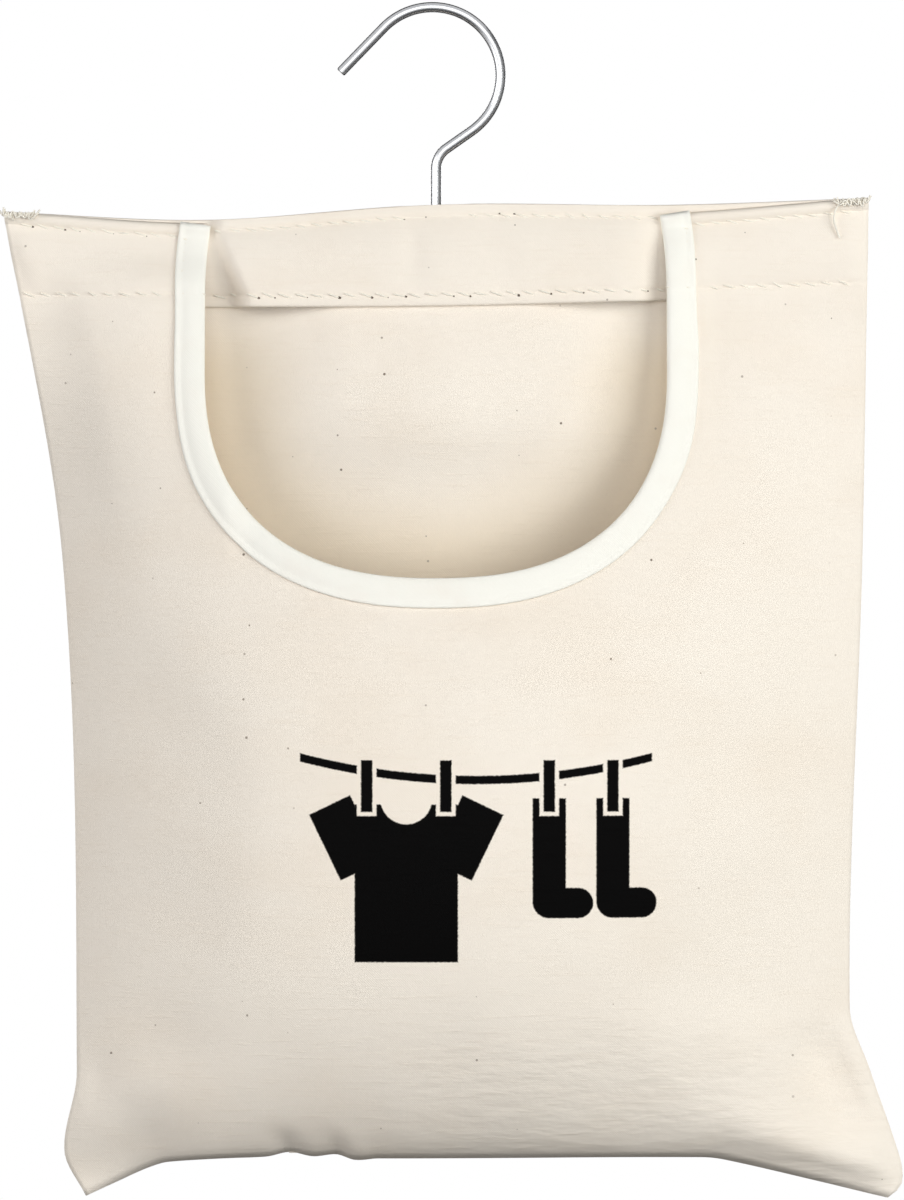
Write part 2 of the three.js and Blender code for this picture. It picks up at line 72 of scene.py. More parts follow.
# %% Camera
PICTURE_WIDE, PICTURE_HIGH = 904, 1200
PIXELS_PER_MM = 3.0
ORIGIN_ACROSS, ORIGIN_DOWN = 432.4, 12.45
CAMERA_FAR, SENSOR = 3.0, 36
centre_x = (PICTURE_WIDE / 2 - ORIGIN_ACROSS) / PIXELS_PER_MM * MM
centre_z = (ORIGIN_DOWN - PICTURE_HIGH / 2) / PIXELS_PER_MM * MM
bpy.ops.object.camera_add(location=(centre_x, -CAMERA_FAR, centre_z), rotation=(math.pi / 2, 0, 0))
camera = bpy.context.object
camera.data.sensor_width = SENSOR
camera.data.lens = SENSOR * CAMERA_FAR / (PICTURE_HIGH / PIXELS_PER_MM * MM)
scene.camera = camera
print("lens", round(camera.data.lens), "mm")

# %% [markdown]
# ## Shader sums
# A material is easier to read as arithmetic than as a web of nodes. This class wraps one socket: sums on it
# add Math nodes, and `node` adds any other kind with its settings and its inputs. Colours go through Mix
# nodes, because a Math node would turn them grey.


# %% Shader sums
class Socket:
    """One socket of a node tree, to write sums with."""

    def __init__(self, tree, socket=None):
        self.tree = tree
        self.socket = socket

    def node(self, kind, settings=(), inputs=(), output=0):
        made = self.tree.nodes.new(kind)
        for name, value in dict(settings).items():
            setattr(made, name, value)
        for name, value in dict(inputs).items():
            if isinstance(value, Socket):
                self.tree.links.new(value.socket, made.inputs[name])
            else:
                made.inputs[name].default_value = value
        return Socket(self.tree, made.outputs[output] if made.outputs else None)

    def other(self, output):
        """Another output of the node that this socket is on."""
        return Socket(self.tree, self.socket.node.outputs[output])

    def sum(self, operation, *values):
        return self.node("ShaderNodeMath", {"operation": operation}, enumerate(values))

    def __add__(self, other):
        return self.sum("ADD", self, other)

    def __radd__(self, other):
        return self.sum("ADD", other, self)

    def __sub__(self, other):
        return self.sum("SUBTRACT", self, other)

    def __rsub__(self, other):
        return self.sum("SUBTRACT", other, self)

    def __mul__(self, other):
        return self.sum("MULTIPLY", self, other)

    def __rmul__(self, other):
        return self.sum("MULTIPLY", other, self)

    def __truediv__(self, other):
        return self.sum("DIVIDE", self, other)

    def __neg__(self):
        return self.sum("MULTIPLY", self, -1.0)

    def __abs__(self):
        return self.sum("ABSOLUTE", self)

    def __pow__(self, other):
        return self.sum("POWER", self, other)

    def low(self, other):
        return self.sum("MINIMUM", self, other)

    def high(self, other):
        return self.sum("MAXIMUM", self, other)

    def wave(self):
        return self.sum("SINE", self)

    def step(self, start, end):
        """0 below start, 1 above end, and smooth between them, also where end is the lower one."""
        flip = end < start
        ends = (end, start) if flip else (start, end)
        settings = {"interpolation_type": "SMOOTHSTEP"}
        inputs = {"Value": self, "From Min": ends[0], "From Max": ends[1]}
        eased = self.node("ShaderNodeMapRange", settings, inputs)
        return 1 - eased if flip else eased

    def paint(self, under, over):
        """The colour under, and the colour over where this is 1."""
        return self.node("ShaderNodeMix", {"data_type": "RGBA"}, {0: self, 6: under, 7: over}, output=2)


def colour(red, green, blue):
    """A colour by its red, green and blue on a screen, from 0 to 255."""
    shares = [k / 255 for k in (red, green, blue)]
    return tuple(k / 12.92 if k < 0.04045 else ((k + 0.055) / 1.055) ** 2.4 for k in shares) + (1.0,)


def start_material(name, **constants):
    """A material with its Principled shader's plain numbers set, and a socket to write sums with."""
    material = bpy.data.materials.new(name)
    material.use_nodes = True
    shader = material.node_tree.nodes["Principled BSDF"]
    for socket, value in constants.items():
        shader.inputs[socket.replace("_", " ")].default_value = value
    return material, shader, Socket(material.node_tree)


def connect(shader, **links):
    for socket, value in links.items():
        value.tree.links.new(value.socket, shader.inputs[socket.replace("_", " ")])


print("shader sums ready")

# %% [markdown]
# ## Floor
# The floor lies below the picture and keeps the bag's shadow. It could be one pale colour, but a pale floor
# throws so much light up that the bag's underside loses its shade. So it is pale to the camera and to
# reflections, and a middle grey to the light that bounces. Further out it glows more and more, until it is
# as white as the world around it and its edge can't be seen.

# %% Floor
FLOOR_SIZE, FLOOR_Z = 8.0, -0.95
FLOOR_BOUNCE, FLOOR_PALE, FLOOR_GRAIN = colour(130, 130, 130), colour(236, 236, 234), colour(242, 242, 240)
GLOW_NEAR, GLOW_FADE = 0.75, (1.0, 3.6)
bpy.ops.mesh.primitive_plane_add(size=FLOOR_SIZE, location=(0, 0, FLOOR_Z))
floor = bpy.context.object
floor.name = "floor"
floor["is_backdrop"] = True


def seen_directly(new):
    """1 for rays that come from the camera, also by way of steel, and 0 for light that the cloth gathers."""
    path = new.node("ShaderNodeLightPath")
    seen = path.other("Is Camera Ray").high(path.other("Is Glossy Ray"))
    return seen.high(path.other("Is Transmission Ray"))


pale, shader, new = start_material("pale_floor", Roughness=0.9)
direct = seen_directly(new)
grain = new.node("ShaderNodeTexNoise", (), {"Scale": 40.0, "Detail": 3.0})
connect(shader, Base_Color=direct.paint(FLOOR_BOUNCE, grain.paint(FLOOR_PALE, FLOOR_GRAIN)))
glow = new.node("ShaderNodeEmission", (), {"Color": (1, 1, 1, 1), "Strength": 1.0})
middle = new.node("ShaderNodeTexCoord", output="Object")
far = new.node("ShaderNodeVectorMath", {"operation": "LENGTH"}, {0: middle}, output="Value")
share = direct * (GLOW_NEAR + far.step(*GLOW_FADE) * (1 - GLOW_NEAR))
both = new.node("ShaderNodeMixShader", (), {0: share, 1: Socket(new.tree, shader.outputs[0]), 2: glow})
new.tree.links.new(both.socket, new.tree.nodes["Material Output"].inputs["Surface"])
floor.data.materials.append(pale)
print("a floor of", FLOOR_SIZE, "m")

# %% [markdown]
# ## World and lamps
# The photograph has a bare white ground and broad soft light from both sides, stronger from the right, so
# that the left side and the underside fall off gently. The world is white to the camera and to the steel's
# reflections, but hardly lights the cloth. Five square lamps do that: one on each side, one above the
# camera, and two behind for whoever walks round the bag. The right one is a trace greener, as the right
# flank is in the photograph.

# %% World and lamps
AMBIENT = 0.04
AIM, LAMP_FAR, LAMP_SIZE = (0.01, 0, -0.2), 1.7, 1.2
WHITE, GREENISH = (1, 1, 1), (0.985, 1, 0.98)
world = bpy.data.worlds.new("studio")
scene.world = world
world.use_nodes = True
sky = Socket(world.node_tree)
ground = world.node_tree.nodes["Background"]
ground.inputs["Color"].default_value = (1, 1, 1, 1)
world.node_tree.links.new((AMBIENT + seen_directly(sky) * (1 - AMBIENT)).socket, ground.inputs["Strength"])


def lamp(name, turn, rise, power, tint=WHITE):
    """A lamp so many degrees round the bag from the camera and above its middle, aimed at it."""
    level = LAMP_FAR * math.cos(math.radians(rise))
    place = (AIM[0] + level * math.sin(math.radians(turn)), -level * math.cos(math.radians(turn)),
             AIM[2] + LAMP_FAR * math.sin(math.radians(rise)))
    bpy.ops.object.light_add(type="AREA", location=place)
    made = bpy.context.object
    made.name = f"lamp_{name}"
    made.data.size = LAMP_SIZE
    made.data.energy = power
    made.data.color = tint
    made.rotation_euler = (Vector(AIM) - Vector(place)).to_track_quat("-Z", "Y").to_euler()


lamp("right", 51, 6, 21.4, GREENISH)
lamp("left", -57, 8, 12.9)
lamp("above", 0, 18, 9.3)
lamp("back_left", -140, 20, 15.0)
lamp("back_right", 140, 20, 15.0)
scene.view_settings.view_transform = "Standard"
print("five lamps and a white ground")

# %% [markdown]
# ## Cards for the steel
# In an all-white room polished wire looks like chalk. Photographers stand dark cards round the object, out
# of the picture, so that the wire's flanks reflect them and its outline turns dark. Ray visibility hides
# these cards from the camera and from the cloth, and leaves them only to reflections. The darkest one,
# behind the bag, is a flat ring: its hole keeps the middle of the wire bright to someone who looks from
# behind.

# %% Cards for the steel
def card(name, grey):
    """Makes the object that was just added a card that only reflections see."""
    paper, shader, new = start_material(f"{name}_paper", Roughness=0.9)
    fibre = new.node("ShaderNodeTexNoise", (), {"Scale": 60.0})
    connect(shader, Base_Color=fibre.paint(colour(grey, grey, grey), colour(grey + 8, grey + 8, grey + 9)))
    made = bpy.context.object
    made.name = name
    made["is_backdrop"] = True
    made.visible_camera = made.visible_diffuse = made.visible_shadow = made.visible_transmission = False
    made.data.materials.append(paper)


upright = (math.pi / 2, 0, 0)
bpy.ops.mesh.primitive_torus_add(
    major_radius=1.4, minor_radius=1.1, location=(0, 0.5, -0.03), rotation=upright)
bpy.ops.transform.resize(value=(1, 0.01, 1))
card("card_behind", 30)
bpy.ops.mesh.primitive_plane_add(size=1.6, location=(0.9, -0.5, 0.0), rotation=(0, math.pi / 2, 0))
card("card_right", 150)
bpy.ops.mesh.primitive_plane_add(size=1.8, location=(0.0, -0.4, -0.75))
card("card_below", 90)
print("three cards round the hook")

# %% [markdown]
# ## Pattern of a panel
# Both panels share one outline, measured on the photograph: level at the top, drawn in at the sides where
# the bag swells, with an ear at each lower corner. A point of the panel is named by u, from left to right,
# and v, from the top edge down. Lengths here are millimetres from where the hook passes the top edge.

# %% Pattern of a panel
HALF, TALL = 144.0, 330.5
LEFT_TIP, RIGHT_TIP = -117.0, 150.5
DROOP_LEFT, DROOP_RIGHT, DROOP_REACH = 1.4, 3.2, 68
EDGE_ROW, STITCH_ROW, HEM_ROW = 3.8 / TALL, 30.0 / TALL, 33.0 / TALL


def curve_through(*points):
    """A smooth function through (at, value) points, level beyond its ends."""
    at, value = np.array(points, float).T
    step = np.arange(len(at))
    before, after = np.maximum(step - 1, 0), np.minimum(step + 1, len(at) - 1)
    slope = (value[after] - value[before]) / (at[after] - at[before])

    def curve(x):
        x = np.clip(x, at[0], at[-1])
        i = np.clip(np.searchsorted(at, x) - 1, 0, len(at) - 2)
        span, rise = at[i + 1] - at[i], value[i + 1] - value[i]
        s = (x - at[i]) / span
        bend = slope[i] * span * (1 - s) - slope[i + 1] * span * s + rise * (2 * s - 1)
        return value[i] + rise * s + s * (1 - s) * bend

    return curve


left_side = curve_through((0, -144), (119, -124.5), (288.5, -119.5), (315.5, -124), (330.5, -117))
right_side = curve_through(
    (0, 144), (119, 142), (268, 137.7), (288, 144.3),
    (314.7, 153.7), (322, 155.4), (327, 154.6), (330.5, 150.5))
top_edge = curve_through((-144, -2.3), (-77, -5), (0, 0), (77, 0), (144, 2.3))
casing_line = curve_through((-144, -29.8), (0, -30), (144, -25.5))
bottom_lift = curve_through(
    (-117, 0), (-107, 4.8), (-96, 9.9), (-89, 12), (-62, 13.7), (-27, 13.4),
    (0, 13.4), (88, 13.8), (96, 13), (128, 5.6), (150.5, 0))
bottom_nick = curve_through(
    (-62, 0), (-56, 0.3), (-48.7, 1.8), (-41, 0.5), (-33, 1.3), (-27, -0.5), (-20, 0))


def smooth(x, start, end):
    """0 before start, 1 past end, and an even rise between them."""
    s = np.clip((x - start) / (end - start), 0, 1)
    return s * s * (3 - 2 * s)


def front_droop(x, z):
    """How far the front's shoulders hang below the back's top edge: most at the mouth."""
    from_corner = np.clip((HALF - np.abs(x)) / DROOP_REACH, 0, 1)
    return np.where(x > 0, DROOP_RIGHT, DROOP_LEFT) * from_corner * (1 - smooth(-z, 2, 30))


def front_top(x):
    """The height of the front's top edge."""
    edge = top_edge(x)
    return edge - front_droop(x, edge)


def patch(u, v):
    """x and z of a panel's point, spanned between the four edges."""
    x = left_side(v * TALL) * (1 - u) + right_side(v * TALL) * u
    top = top_edge((2 * u - 1) * HALF)
    foot = LEFT_TIP + (RIGHT_TIP - LEFT_TIP) * u
    nick = bottom_nick(foot) * smooth(v, 0.955, 1)
    return x, top * (1 - v) + (bottom_lift(foot) - TALL) * v + nick


def outline(u, v):
    """x and z of a panel's point. One of its rows lies on the casing's lower stitching."""
    x, z = patch(u, v)
    row_x, row_z = patch(u, np.full_like(v, STITCH_ROW))
    share = np.where(v < STITCH_ROW, v / STITCH_ROW, (1 - v) / (1 - STITCH_ROW))
    return x, z + share * (casing_line(row_x) - row_z)


def locate(x, z):
    """u and v of a panel's point at x and z, by a few correcting steps."""
    u, v = np.full_like(x, 0.5), np.full_like(x, 0.5)
    for _ in range(26):
        at_x, at_z = outline(u, v)
        u = np.clip(u + (x - at_x) / (2 * HALF), 0, 1)
        v = np.clip(v - (z - at_z) / TALL, 0, 1)
    return u, v


def from_sides(u):
    """Millimetres from the nearer side seam."""
    return np.minimum(u, 1 - u) * 2 * HALF


def from_seams(u, v):
    """Millimetres from the nearest of the side seams and the bottom seam."""
    return np.minimum(from_sides(u), (1 - v) * TALL)


print("a panel is", 2 * HALF, "by", TALL, "mm")

# %% [markdown]
# ## Depth in the casing
# The cloth's place from front to back is worked out in layers, from the casing down. The bar fills the
# casing, and the cloth closes round it at the seams, which lie forward of the bar's middle. The back opens
# a little behind the hook's stem, both layers bulge round its foot, and the facing hangs loose in front,
# more towards its lower edge. A simulation alone could find such a shape, but nothing would keep it clear
# of the bar and the hook.

# %% Depth in the casing
CLOTH, TAPE = 0.8, 0.45
BAR_DROP, BAR_HIGH, BAR_ROUND = 15.8, 11.0, 3.5
BAR_CLEAR, BAR_ROOM, FOOT_ROOM = 0.5, 4.1, 4.2
STEM_HALF, STEM_OPEN, FOOT_HALF = 13, 2.6, 5
SEAM_FORWARD, LOOSE_ENDS, LOOSE_MIDDLE = 2.3, 8.0, 2.0
BACK_FAN = 34


def down_casing(v):
    """The share of the way from the casing's upper row of stitching to its lower one."""
    return np.clip((v - EDGE_ROW) / (STITCH_ROW - EDGE_ROW), 0, 1)


def loose(x, down, fan=0.0):
    """How far the facing hangs forward: more lower down, most beside the hook, and nothing at its ends.
    fan draws the ends' slopes out over so many more millimetres."""
    ends = smooth(x, -75 + 7 * down, -71 + 10 * down + fan) * (1 - smooth(x, 60 - fan, 77))
    fuller = LOOSE_ENDS + LOOSE_MIDDLE * np.clip(1 - np.abs(x - 5) / 72, 0, 1)
    return fuller * ends * (0.4 + 0.6 * down)


def casing_room(x, v, side):
    """The inner face's depth: side is -1 in front of the bar and 1 behind it."""
    down = down_casing(v)
    left, right = outline(np.zeros_like(v), v)[0], outline(np.ones_like(v), v)[0]
    from_side = np.minimum(x - left, right - x)
    over_bar = (1 - (2 * down - 1) ** 2) * smooth(from_side, 0, 7)
    round_stem = np.cos(np.clip(np.abs(x) / STEM_HALF, 0, 1) * np.pi / 2) ** 2
    stem = np.where((down < 0.5) & (side > 0), round_stem, 0)
    closed = 0.1 - 0.25 * smooth(v, HEM_ROW, HEM_ROW + 0.05) + STEM_OPEN * stem
    forward = (SEAM_FORWARD + loose(x, down, BACK_FAN if side > 0 else 0)) * (1 - over_bar) * (1 - stem)
    forward = forward * (1 - smooth(v, HEM_ROW, 0.3))
    _, z = outline((x + HALF) / (2 * HALF), v)
    past_flat = np.clip(np.abs(z + BAR_DROP) - BAR_HIGH / 2 + BAR_ROUND, 0, BAR_ROUND)
    bar = np.where(past_flat < BAR_ROUND, np.sqrt(BAR_ROUND**2 - past_flat**2) + BAR_CLEAR, -1e3)
    room = closed + (BAR_ROOM - closed) * over_bar - side * forward
    room = room + smooth(from_side, 0.5, 6.5) * np.maximum(bar - room, 0)
    hook_foot = np.exp(-((x / FOOT_HALF) ** 2)) * smooth(-z, 6, 11) * (1 - smooth(-z, 22.5, 29))
    return side * (room + hook_foot * np.maximum(FOOT_ROOM - room, 0))


print("the casing leaves", BAR_ROOM, "mm on either side of the bar's middle")

# %% [markdown]
# ## Swell of the bag
# Below the casing the two panels part. The front leaves the casing at once, swells like a pillow and closes
# round at the bottom, rounder on the left than on the right. The back carries the weight, so it hangs
# straight and fills only lower down. Powers of the distance from the seams give such shapes with few
# numbers.

# %% Swell of the bag
FRONT_BULGE, BACK_BULGE = 43.0, 35.0
FACING_LIFT = 1.6
SEAM_SWING, SWING_REACH = 10.0, 24


def down_bag(v):
    """The share of the way from the casing's lower row of stitching to the bottom seam."""
    return np.clip((v - STITCH_ROW) / (1 - STITCH_ROW), 0, 1)


def front_swell(u, v):
    """The front's share of its full depth."""
    down = down_bag(v)
    across = 1 - np.abs(2 * u - 1) ** np.where(u < 0.5, 2.8, 1.9)
    return across * (1 - (1 - down) ** 2.2) * np.maximum(1 - down**4, 0) ** 0.65 / 0.795


def back_swell(u, v):
    """The back's share of its full depth."""
    down = down_bag(v)
    across = 1 - np.abs(2 * u - 1) ** 2.2
    return across * smooth(down, 0.12, 0.85) * np.maximum(1 - down**4, 0) ** 0.6 / 0.76


def seam_swing(u, v):
    """How far the left seam swings behind the bag's middle, between the casing and the fullest part."""
    swing = SEAM_SWING * np.exp(-(u * 2 * HALF) / SWING_REACH)
    return swing * smooth(v, STITCH_ROW, 0.32) * (1 - smooth(v, 0.45, 0.85))


print("the bag is", round(FRONT_BULGE + BACK_BULGE), "mm deep at its fullest")

# %% [markdown]
# ## Creases and depths
# The photograph shows a few creases: a ridge and a dip at the right ear, a pinch at the left one, two small
# pleats at the bottom, and a left shoulder that stands forward of the facing. Each is a soft valley along a
# line or a swelling between limits, and fades out before the seams so that the panels stay sewn together.
# The back sags forward in its middle, where it takes the light that the mouth lets in.

# %% Creases and depths
def valley(x, z, start, end, wide):
    """1 along a line from start to end, fading over the width beside it and towards the line's far end."""
    (x0, z0), (x1, z1) = start, end
    long = math.hypot(x1 - x0, z1 - z0)
    along = ((x - x0) * (x1 - x0) + (z - z0) * (z1 - z0)) / long
    beside = ((x - x0) * (z1 - z0) - (z - z0) * (x1 - x0)) / long
    fade = np.exp(-((beside / wide) ** 2)) * smooth(along, -wide, wide)
    return fade * (1 - smooth(along, 0.2 * long, long))


def ear_turn(x, z):
    """How far the left ear is turned back."""
    return 9.0 * smooth(-x, 72, 106) * smooth(-z, 290, 327)


def front_creases(u, v):
    x, z = outline(u, v)
    ridge = -4.0 * valley(x, z, (150, -322), (66, -296), 10)
    dip = 5.0 * valley(x, z, (124, -276), (146, -322), 9)
    pinched = 1.4 * valley(x, z, (-120, -288), (-84, -312), 10)
    pleat = 1.5 * valley(x, z, (-49, -317), (-51, -305), 4) + valley(x, z, (-33, -317), (-31, -307), 3.5)
    shoulder = -8.0 * smooth(-x, 60, 70) * (1 - smooth(-x, 92, 144))
    shoulder = shoulder * smooth(-z, 12, 32) * (1 - smooth(-z, 60, 130)) * smooth(u * 2 * HALF, 0, 24)
    flip = -5.0 * smooth(x, 0, 9) * (1 - smooth(x, 77, 95)) * smooth(-z, 0, 30) * (1 - smooth(-z, 50, 120))
    ears = (ridge + dip + pinched) * smooth(from_seams(u, v), 0, 10)
    return ears + pleat * smooth((1 - v) * TALL, 0, 3) + shoulder + flip


def front_depth(u, v):
    x, z = outline(u, v)
    over_facing = 1 - smooth(v, HEM_ROW, HEM_ROW + STITCH_ROW / 2)
    layers = FACING_LIFT * over_facing + CLOTH / 2 + FRONT_BULGE * front_swell(u, v)
    return front_creases(u, v) + seam_swing(u, v) + ear_turn(x, z) + casing_room(x, v, -1) - layers


def back_depth(u, v):
    x, z = outline(u, v)
    ear = 3.0 * valley(x, z, (137, -268), (80, -300), 12)
    ear = (ear + 3.0 * valley(x, z, (-120, -288), (-66, -306), 12)) * smooth(from_sides(u), 0, 10)
    sag = 11.0 * np.exp(-((x / 48) ** 2)) * smooth(-z, 33, 80) * (1 - smooth(-z, 140, 240))
    hollow = 4.0 * np.exp(-(((x + 95) / 30) ** 2)) * smooth(-z, 30, 60) * (1 - smooth(-z, 150, 230))
    hollow = hollow * smooth(u * 2 * HALF, 0, 22)
    hang = seam_swing(u, v) + ear_turn(x, z) + casing_room(x, v, 1) + CLOTH / 2 + hollow
    return hang + BACK_BULGE * back_swell(u, v) - ear - sag


middle = (np.array([0.5]), np.array([0.5]))
print("at half height the panels lie", (back_depth(*middle) - front_depth(*middle)).round(1), "mm apart")

# %% [markdown]
# ## From numbers to cloth
# A sheet of cloth is a fine grid of points with faces between them. Solidify gives it a real thickness,
# half to each side. The helpers also drop the faces of an opening, hand each piece to its body and hide the
# solid that it stands for.

# %% From numbers to cloth
BAG_AT = np.array([1.2, 0.0, -64.5])


def make_mesh(name, points, faces):
    """A mesh from points in millimetres from where the hook passes the bag's top edge."""
    mesh = bpy.data.meshes.new(name)
    mesh.from_pydata(((np.reshape(points, (-1, 3)) + BAG_AT) * MM).tolist(), [], faces)
    mesh.shade_smooth()
    made = bpy.data.objects.new(name, mesh)
    scene.collection.objects.link(made)
    return made


def grid_faces(rows, across, keep=None):
    """Faces between the points of a grid, all of them or those that keep marks, wound to face the front."""
    faces = []
    for r in range(rows - 1):
        for c in range(across - 1):
            if keep is None or keep[r, c]:
                a = r * across + c
                faces.append((a, a + across, a + across + 1, a + 1))
    return faces


def pick(*pieces):
    """Selects these pieces alone, with the first one active."""
    bpy.ops.object.select_all(action="DESELECT")
    for piece in pieces:
        piece.select_set(True)
    bpy.context.view_layer.objects.active = pieces[0]


def apply_modifier(piece, kind, **settings):
    pick(piece)
    added = piece.modifiers.new(kind.lower(), kind)
    for name, value in settings.items():
        setattr(added, name, value)
    bpy.ops.object.modifier_apply(modifier=added.name)
    return piece


def thicken(piece, thickness):
    """Gives a sheet its thickness, half to each side."""
    return apply_modifier(piece, "SOLIDIFY", thickness=thickness * MM, offset=0.0, use_even_offset=True)


def tidy(piece):
    """Drops points that no face uses, and merges doubles."""
    cleaner = bmesh.new()
    cleaner.from_mesh(piece.data)
    bmesh.ops.delete(cleaner, geom=[p for p in cleaner.verts if not p.link_faces], context="VERTS")
    bmesh.ops.remove_doubles(cleaner, verts=cleaner.verts, dist=1e-6)
    cleaner.to_mesh(piece.data)
    cleaner.free()
    return piece


def belongs(piece, body, node):
    """Hands a piece to the body that carries it, and hides the solid that it stands for."""
    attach(piece, body)
    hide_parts(node)
    return piece


COLUMNS = np.linspace(0, 1, 201)
CASING_ROWS = np.concatenate([
    np.linspace(0, 4.4, 14),
    np.linspace(4.4, 28, 16)[1:],
    np.linspace(28, 33, 11)[1:],
]) / TALL
BAG_ROWS = HEM_ROW + (1 - HEM_ROW) * np.linspace(0, 1, 127)[1:]
ROWS = np.concatenate([CASING_ROWS, BAG_ROWS])
grid_u, grid_v = np.meshgrid(COLUMNS, ROWS)
grid_x, grid_z = outline(grid_u, grid_v)
below_top = top_edge(grid_x) - grid_z
print("a panel's grid has", grid_u.size, "points")

# %% [markdown]
# ## Mouth
# The mouth is a deep U: nearly straight sides that lean in a little at the top, and a squared half ellipse
# below. The line is kept as points with the way into the cloth at each, because the cloth's cut, the tape
# and its stitching all follow it.

# %% Mouth
MOUTH_HALF, MOUTH_STRAIGHT, MOUTH_DEEP, MOUTH_SQUARE = 77.5, 55.0, 125.0, 2.4
LEAN_FAR, LEAN_DEEP = 2.8, 30
CUT_BACK = 0.6


def mouth_half_at(z):
    """Half the mouth's width at a height."""
    drop = np.clip((-z - MOUTH_STRAIGHT) / (MOUTH_DEEP - MOUTH_STRAIGHT), 0, 1)
    lean = LEAN_FAR * np.clip(1 + z / LEAN_DEEP, 0, 1.2) ** 2
    return MOUTH_HALF * (1 - drop**MOUTH_SQUARE) ** (1 / MOUTH_SQUARE) - lean


def mouth_line(top, count):
    """Even points from the mouth's top left round to its top right, and the ways into the cloth there."""
    heights = np.linspace(top, -MOUTH_STRAIGHT, 200)[:-1]
    turn = np.linspace(0, np.pi, 800)
    power = 2 / MOUTH_SQUARE
    round_x = -MOUTH_HALF * np.sign(np.cos(turn)) * np.abs(np.cos(turn)) ** power
    round_z = -MOUTH_STRAIGHT - (MOUTH_DEEP - MOUTH_STRAIGHT) * np.abs(np.sin(turn)) ** power
    x = np.concatenate([-mouth_half_at(heights), round_x, mouth_half_at(heights)[::-1]])
    z = np.concatenate([heights, round_z, heights[::-1]])
    run = np.concatenate([[0], np.cumsum(np.hypot(np.diff(x), np.diff(z)))])
    even = np.linspace(0, run[-1], count)
    x, z = np.interp(even, run, x), np.interp(even, run, z)
    way_x, way_z = np.gradient(x), np.gradient(z)
    long = np.hypot(way_x, way_z)
    return x, z, way_z / long, -way_x / long


edge_x, edge_z, into_x, into_z = mouth_line(6.0, 1600)
edge_x, edge_z = edge_x + into_x * CUT_BACK, edge_z + into_z * CUT_BACK
middle_x = (grid_x[:-1, :-1] + grid_x[1:, 1:]) / 2
middle_z = (grid_z[:-1, :-1] + grid_z[1:, 1:]) / 2
open_mouth = (np.abs(middle_x) < mouth_half_at(middle_z) + CUT_BACK) & (middle_z > -MOUTH_DEEP - CUT_BACK)
print("a mouth of", 2 * MOUTH_HALF, "by", MOUTH_DEEP, "mm takes out", int(open_mouth.sum()), "faces")

# %% [markdown]
# ## Snapping the cut
# Taking whole faces out of a grid leaves a staircase. Each point along the staircase moves onto the nearest
# point of the mouth's line, which leaves a clean edge without any slivers, and its depth is read again at
# its new place.

# %% Snapping the cut
holds = np.zeros(grid_x.shape, bool)
taken = np.zeros(grid_x.shape, bool)
for down in (0, 1):
    for right in (0, 1):
        window = (slice(down, grid_x.shape[0] - 1 + down), slice(right, grid_x.shape[1] - 1 + right))
        holds[window] |= ~open_mouth
        taken[window] |= open_mouth
rim = holds & taken
front_x, front_z = grid_x.copy(), grid_z - front_droop(grid_x, grid_z)
away = (front_x[rim][:, None] - edge_x) ** 2 + (front_z[rim][:, None] - edge_z) ** 2
nearest = away.argmin(1)
front_x[rim], front_z[rim] = edge_x[nearest], edge_z[nearest]
on_top = rim & (grid_v == 0)
front_z[on_top] = front_top(front_x[on_top])
rim_u, rim_v = locate(front_x[rim], front_z[rim] + front_droop(front_x[rim], front_z[rim]))
front_u, front_v = grid_u.copy(), grid_v.copy()
front_u[rim], front_v[rim] = rim_u, rim_v
FAR_OFF, NEAR_HALF, NEAR_LOW = 1e3, 110, -155
from_mouth = np.full(grid_x.shape, FAR_OFF)
near = (np.abs(grid_x) < NEAR_HALF) & (grid_z > NEAR_LOW)
away = (grid_x[near][:, None] - edge_x[::4]) ** 2 + (grid_z[near][:, None] - edge_z[::4]) ** 2
from_mouth[near] = np.sqrt(away.min(1))
print(int(rim.sum()), "points moved onto the mouth's line")

# %% [markdown]
# ## Rolled top edge
# The shoulders were sewn to the facing inside out, turned and pressed, so their top edge is a narrow roll
# with the stitching just under it. The roll is a ridge less than four millimetres wide, and the first rows
# curl back onto the facing. Each row of stitching pulls the cloth into a shallow groove, deepest where the
# thread goes in.

# %% Rolled top edge
PITCH = 5.4
EDGE_SEW, SHOULDER_SEW, CASING_SEW, FACING_SEW = 3.9, 139.0, 138.0, 74.5
FRONT_ROLL, BACK_ROLL, FACING_ROLL, TAPE_ROLL = 1.0, 0.4, 0.35, 1.1
ROLL_DOWN, ROLL_UPPER, ROLL_LOWER = 1.5, 1.75, 2.2
CURL_DEEP = 1.4


def roll(down, high):
    """A ridge along an edge, by the distance below the edge: round above, and falling off evenly below."""
    upper = np.sqrt(np.clip(1 - ((down - ROLL_DOWN) / ROLL_UPPER) ** 2, 0, 1))
    lower = np.cos(np.clip((down - ROLL_DOWN) / ROLL_LOWER, 0, 1) * np.pi / 2)
    return high * np.where(down < ROLL_DOWN, upper, lower)


def curl(down, far):
    """How far the first rows turn back over an edge."""
    return far * (1 - np.sqrt(np.clip(1 - (1 - np.clip(down / CURL_DEEP, 0, 1)) ** 2, 0, 1)))


def groove(beside, along):
    """How deep stitching pulls the cloth in, by the distances beside its row and along it."""
    pinched = 0.5 + 0.5 * np.cos(along * 2 * np.pi / PITCH)
    return (0.12 + 0.28 * pinched) * np.exp(-((beside / 0.9) ** 2))


